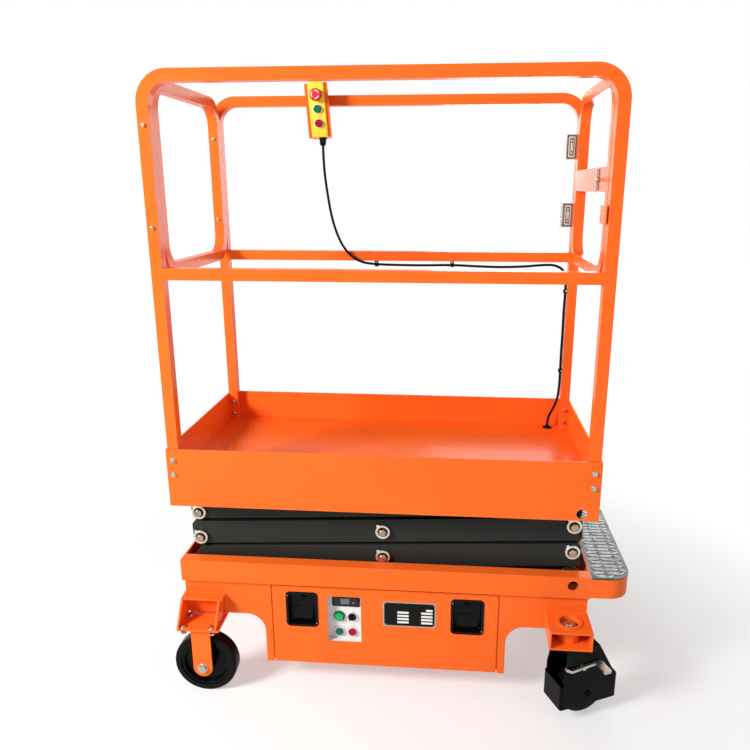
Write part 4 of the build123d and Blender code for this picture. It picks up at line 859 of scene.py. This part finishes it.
def mark_door():
    """Blank name plate with a bright rim and empty fields, and rivets at its corners."""
    centre = Vector((NAME_PLATE_X, -PANEL_FACE, NAME_PLATE_Z))
    rim = Piece().sawn(rounded_outline(0.154, 0.081, 0.005), centre, -Y, 0.0007, 0.0002)
    rim.done("name_plate_rim", zinc_plate, "door", "zinc")
    plate = Piece().sawn(rounded_outline(0.147, 0.074, 0.004), centre, -Y, NAME_PLATE_T, 0.0002)
    plate.done("name_plate", plate_black, "door", "black_plastic")
    fields = Piece()
    places = [(0.033, column, row) for column in FIELD_COLUMNS for row in FIELD_ROWS]
    for width, column, row in places + [(0.019, 0.058, 0.0165)]:
        spot = centre + Vector((column, -NAME_PLATE_T, row))
        fields.sawn(rounded_outline(width, FIELD_H, 0.0006, 2), spot, -Y, FIELD_T)
    fields.done("name_plate_fields", field_white, "door", "panel_white")
    rivets = Piece()
    for dx in (-0.0705, 0.0705):
        for dz in (-0.034, 0.034):
            rivets.rivet(centre + Vector((dx, -NAME_PLATE_T, dz)), -Y, 0.0018)
    rivets.done("name_plate_rivets", zinc_plate, "door", "zinc")


def fit_tray():
    """Blank display, lit start button, selector and two push buttons in the instrument tray."""
    low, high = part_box("control_panel")
    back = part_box("panel_controls")[1].y
    x = (low.x + high.x) / 2
    top = high.z - TRAY_FLANGE
    left, right = x - 0.018, x + 0.021
    upper, lower = top - 0.078, top - 0.129

    display = Vector((x + 0.003, back, top - 0.027))
    frame_piece = Piece().sawn(rounded_outline(0.082, 0.034, 0.002), display, -Y, 0.0030, 0.0006)
    frame_piece = frame_piece.done("display_frame", black_moulding, "door", "black_plastic")
    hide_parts("panel_controls")
    glass = Piece().sawn(rounded_outline(0.074, 0.027, 0.002), display - Y * 0.0029, -Y, 0.0005, 0.0002)
    glass.done("display_glass", display_glass, "door", "black_plastic")
    window = Piece()
    screen = display + Vector((-0.003, -GLASS_FRONT, 0))
    window.sawn(rounded_outline(0.026, 0.019, 0.001), screen, -Y, 0.0003)
    key = display + Vector((0.022, -GLASS_FRONT, -0.004))
    window.sawn(rounded_outline(0.008, 0.006, 0.002), key, -Y, 0.0003)
    window.done("display_window", display_window, "door", "panel_white")

    lamp_ring = Piece().turned([
        (0.0168, 0.0), (0.0168, 0.0030), (0.0158, 0.0044), (0.0140, 0.0046), (0.0138, 0.0030),
    ], (left, back, upper), -Y, 36)
    lamp_ring.done("start_lamp_ring", button_green, "door", "switches")
    square = rounded_outline(0.0225, 0.0225, 0.0075)
    lens = Piece().sawn(square, (left, back, upper), -Y, 0.0095, 0.0030, segments=4)
    lens = lens.done("start_lamp", lit_green, "door", "switches")
    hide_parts("panel_controls")

    bezels = Piece()
    for x, z in ((right, upper), (left, lower), (right, lower)):
        bezels.turned([
            (0.0152, 0), (0.0152, 0.0022), (0.0144, 0.0042), (0.0126, 0.0048), (0.0116, 0.0040),
            (0.0114, 0.0015),
        ], (x, back, z), -Y, 36)
    bezels.done("switch_bezels", hard_chrome, "door", "zinc")
    selector = Piece().turned([
        (0.0112, 0.0), (0.0112, 0.0060), (0.0104, 0.0074), (0.0, 0.0076),
    ], (right, back, upper), -Y, 32)
    grip = rounded_outline(0.0230, 0.0066, 0.0028)
    selector.sawn(grip, (right, back - 0.0070, upper), -Y, 0.0040, 0.0012, 0.7)
    selector = selector.done("selector_knob", black_moulding, "door", "switches")
    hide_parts("panel_controls")
    for spot, finish, name in ((left, button_green, "start_button"), (right, button_red, "stop_button")):
        cap = Piece().turned([
            (0.0112, 0.0), (0.0112, 0.0070), (0.0104, 0.0084), (0.0, 0.0087),
        ], (spot, back, lower), -Y, 36)
        cap = cap.done(name, finish, "door", "switches")
        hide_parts("panel_controls")


def fit_latches():
    """Pressed pockets with a paddle across each, the lock above it and rivets through the flange."""
    low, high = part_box("door_latches")
    door_low, door_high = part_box("service_door")
    inset = LATCH_INSET + LATCH_W / 2
    z = (low.z + high.z) / 2
    face, back = -PANEL_FACE - low.y, -high.y - PANEL_FACE
    floor = back + LATCH_WALL
    inner_w, inner_h = LATCH_W - 2 * LATCH_LIP - 0.006, LATCH_H - 2 * LATCH_LIP - 0.006
    pockets, rivets, locks = Piece(), Piece(), Piece()
    for x in (door_low.x + inset, door_high.x - inset):
        pockets.pressed([
            (inner_w + 0.005, inner_h + 0.005, 0.007, back),
            (inner_w + 0.005, inner_h + 0.005, 0.007, 0.0),
            (LATCH_W, LATCH_H, 0.012, 0.0),
            (LATCH_W, LATCH_H, 0.012, face - 0.0006),
            (LATCH_W - 0.0012, LATCH_H - 0.0012, 0.0114, face),
            (inner_w + 0.0010, inner_h + 0.0010, 0.0055, face),
            (inner_w, inner_h, 0.0050, face - 0.0008),
            (inner_w, inner_h, 0.0050, floor + 0.002),
            (inner_w - 0.004, inner_h - 0.004, 0.0030, floor),
        ], (x, -PANEL_FACE, z), -Y)
        paddle = [
            (0.0, -0.0375), (-0.0130, -0.0355), (-0.0140, -0.0340), (-0.0140, -0.0295),
            (-0.0055, -0.0050), (0.0, -0.0010),
        ]
        pockets.sawn(paddle, (x - 0.030, high.y - LATCH_WALL, z), X, 0.060, 0.0012)
        for way in (-1, 1):
            rivets.rivet((x + way * 0.0425, low.y, z - way * 0.0445), -Y, 0.0017)
        locks.turned([
            (0.0085, 0.0), (0.0085, -0.0035), (0.0078, -0.0046), (0.0032, -0.0050), (0.0030, -0.0030),
            (0, -0.0030),
        ], (x, high.y - LATCH_WALL, z + 0.026), Y, 28)
    pockets = pockets.done("latch_pockets", black_moulding, "door", "black_plastic")
    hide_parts("door_latches")
    rivets.done("latch_rivets", zinc_plate, "door", "zinc")
    locks.done("latch_locks", black_moulding, "door", "black_plastic")


def back_door_gap():
    """Strips behind the panel that close the gap at the door's ends."""
    low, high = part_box("service_door")
    inner = -PANEL_FACE + 0.0045
    strips = Piece()
    for x in (low.x, high.x):
        strips.block((x - 0.014, inner, low.z + 0.005), (x + 0.014, inner + 0.002, high.z - 0.001), 0.0004)
    strips.done("door_gap_strips", orange_paint, "base", "orange")


mark_door()
fit_tray()
fit_latches()
back_door_gap()


# Batteries and pump behind the door

BATTERY_L, BATTERY_GAP, BATTERY_W = 0.190, 0.020, 0.170
RIB_PITCH, CAP_PITCH, POST_X = 0.030, 0.052, 0.070
TANK_L, TANK_DROP, VALVE_H = 0.170, 0.080, 0.040


def dress_pack():
    """Lids, ribs, vent caps and posts on the batteries, and the valve block on the pump's tank."""
    low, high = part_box("power_pack")
    top = high.z - 0.010
    y = (low.y + high.y) / 2
    lid = rounded_outline(BATTERY_L - 0.004, BATTERY_W - 0.004, 0.006)
    lids, caps, posts = Piece(), Piece(), Piece()
    for number in range(2):
        x = low.x + BATTERY_L / 2 + number * (BATTERY_L + BATTERY_GAP)
        lids.sawn(lid, (x, y, top), Z, 0.005, 0.0015)
        for rib in range(6):
            rx = x + (rib - 2.5) * RIB_PITCH
            foot = (rx - 0.004, low.y - 0.0025, low.z + 0.012)
            lids.block(foot, (rx + 0.004, low.y + 0.001, top - 0.030), 0.001)
        for cap in range(3):
            spot = (x + (cap - 1) * CAP_PITCH, y + 0.02, top)
            caps.turned([(0.0095, 0.004), (0.0095, 0.0068), (0.0080, 0.0078), (0, 0.0078)], spot, Z, 20)
        for way in (-1, 1):
            spot = (x + way * POST_X, low.y + 0.030, top)
            posts.turned([(0.0100, 0.004), (0.0092, 0.0090), (0.0080, 0.0096), (0, 0.0096)], spot, Z, 24)
    lids.done("battery_lids", battery_case, "base", "battery")
    caps.done("battery_vent_caps", black_moulding, "base", "black_plastic")
    posts.done("battery_posts", zinc_plate, "base", "zinc")

    tank = Vector((high.x - TANK_L, low.y, high.z - TANK_DROP))
    valve = Piece().block(
        tank + Vector((0.012, 0.010, 0)), tank + Vector((0.058, 0.046, VALVE_H)), 0.002)
    valve.bolt(tank + Vector((0.035, 0.010, 0.022)), -Y, 0.019, False)
    valve.turned([
        (0.0130, 0.0), (0.0130, 0.030), (0.0112, 0.032), (0.0060, 0.032), (0.0060, 0.036), (0, 0.036),
    ], tank + Vector((0.035, 0.028, VALVE_H)), Z, 28)
    valve.done("pump_valve_block", zinc_plate, "base", "zinc")


dress_pack()


# Camera, floor and light

CAMERA_PLACE = (0.1475, -1.9883, 1.4609)
CAMERA_TURN = (1.3060, 0.0, 0.0830)
SENSOR_WIDTH, LENS, SHIFT_X = 36.0, 33.14, -0.0287
# Strength of the surround as a light; what is seen of it is 1.
WORLD_LIGHT = 0.26
# The floor's white share, by distance from its middle as a share of the reach
FLOOR_RADIUS, FADE_REACH = 14.0, 4.0
FLOOR_FADE = ((0.20, 0.45), (0.42, 1.0))
# Name, place, aim, width in metres and power in watts of each lamp
SOFT_BOXES = (
    ("key_light", (-2.8, -2.2, 2.5), (0, 0, 0.8), 1.2, 190),
    ("fill_light", (2.6, -1.8, 2.0), (0, 0, 0.8), 2.0, 12),
    ("back_light", (1.0, 3.0, 1.7), (0, 0, 0.9), 2.2, 40),
)


def stage_floor():
    """Pale floor that keeps the shadow round the lift and runs out into the white surround."""
    finish = Finish("studio_floor", Roughness=0.9, Specular_IOR_Level=0.1, Emission_Strength=1.0)
    pale = finish.mix(finish.noise(3.0), srgb(250, 250, 250), srgb(247, 247, 247))
    distance = finish.node("ShaderNodeVectorMath", {"operation": "LENGTH"}, {0: finish.place}, "Value")
    away = finish.ramp(distance * (1.0 / FADE_REACH), *FLOOR_FADE) * finish.seen()
    finish.feed(Base_Color=finish.mix(away, pale, BLACK), Emission_Color=finish.mix(away, BLACK, WHITE))
    floor = bmesh.new()
    bmesh.ops.create_circle(floor, cap_ends=True, radius=FLOOR_RADIUS, segments=96)
    mesh = bpy.data.meshes.new("studio_floor")
    floor.to_mesh(mesh)
    floor.free()
    mesh.materials.append(finish.material)
    add_object("studio_floor", mesh)


def light_world():
    """White surround for what the camera and reflections see, softer for the light it gives."""
    world = bpy.data.worlds.new("studio_surround")
    bpy.context.scene.world = world
    world.use_nodes = True
    nodes = Nodes(world.node_tree)
    surround = nodes.tree.nodes["Background"]
    surround.inputs["Color"].default_value = WHITE
    nodes.put(surround.inputs["Strength"], nodes.seen() * (1.0 - WORLD_LIGHT) + WORLD_LIGHT)


def soft_box(name, place, aim, size, power):
    lamp = bpy.data.lights.new(name, "AREA")
    lamp.shape = "DISK"
    lamp.size = size
    lamp.energy = power
    obj = add_object(name, lamp)
    obj.location = place
    obj.rotation_euler = (Vector(aim) - Vector(place)).to_track_quat("-Z", "Y").to_euler()


def place_camera():
    """Camera at the photograph's view."""
    data = bpy.data.cameras.new("photo_view")
    data.sensor_width = SENSOR_WIDTH
    data.lens = LENS
    data.shift_x = SHIFT_X
    camera = add_object("photo_view", data)
    camera.location = CAMERA_PLACE
    camera.rotation_euler = CAMERA_TURN
    bpy.context.scene.camera = camera


stage_floor()
light_world()
for lamp in SOFT_BOXES:
    soft_box(*lamp)
place_camera()

bpy.context.scene.view_settings.view_transform = "Standard"
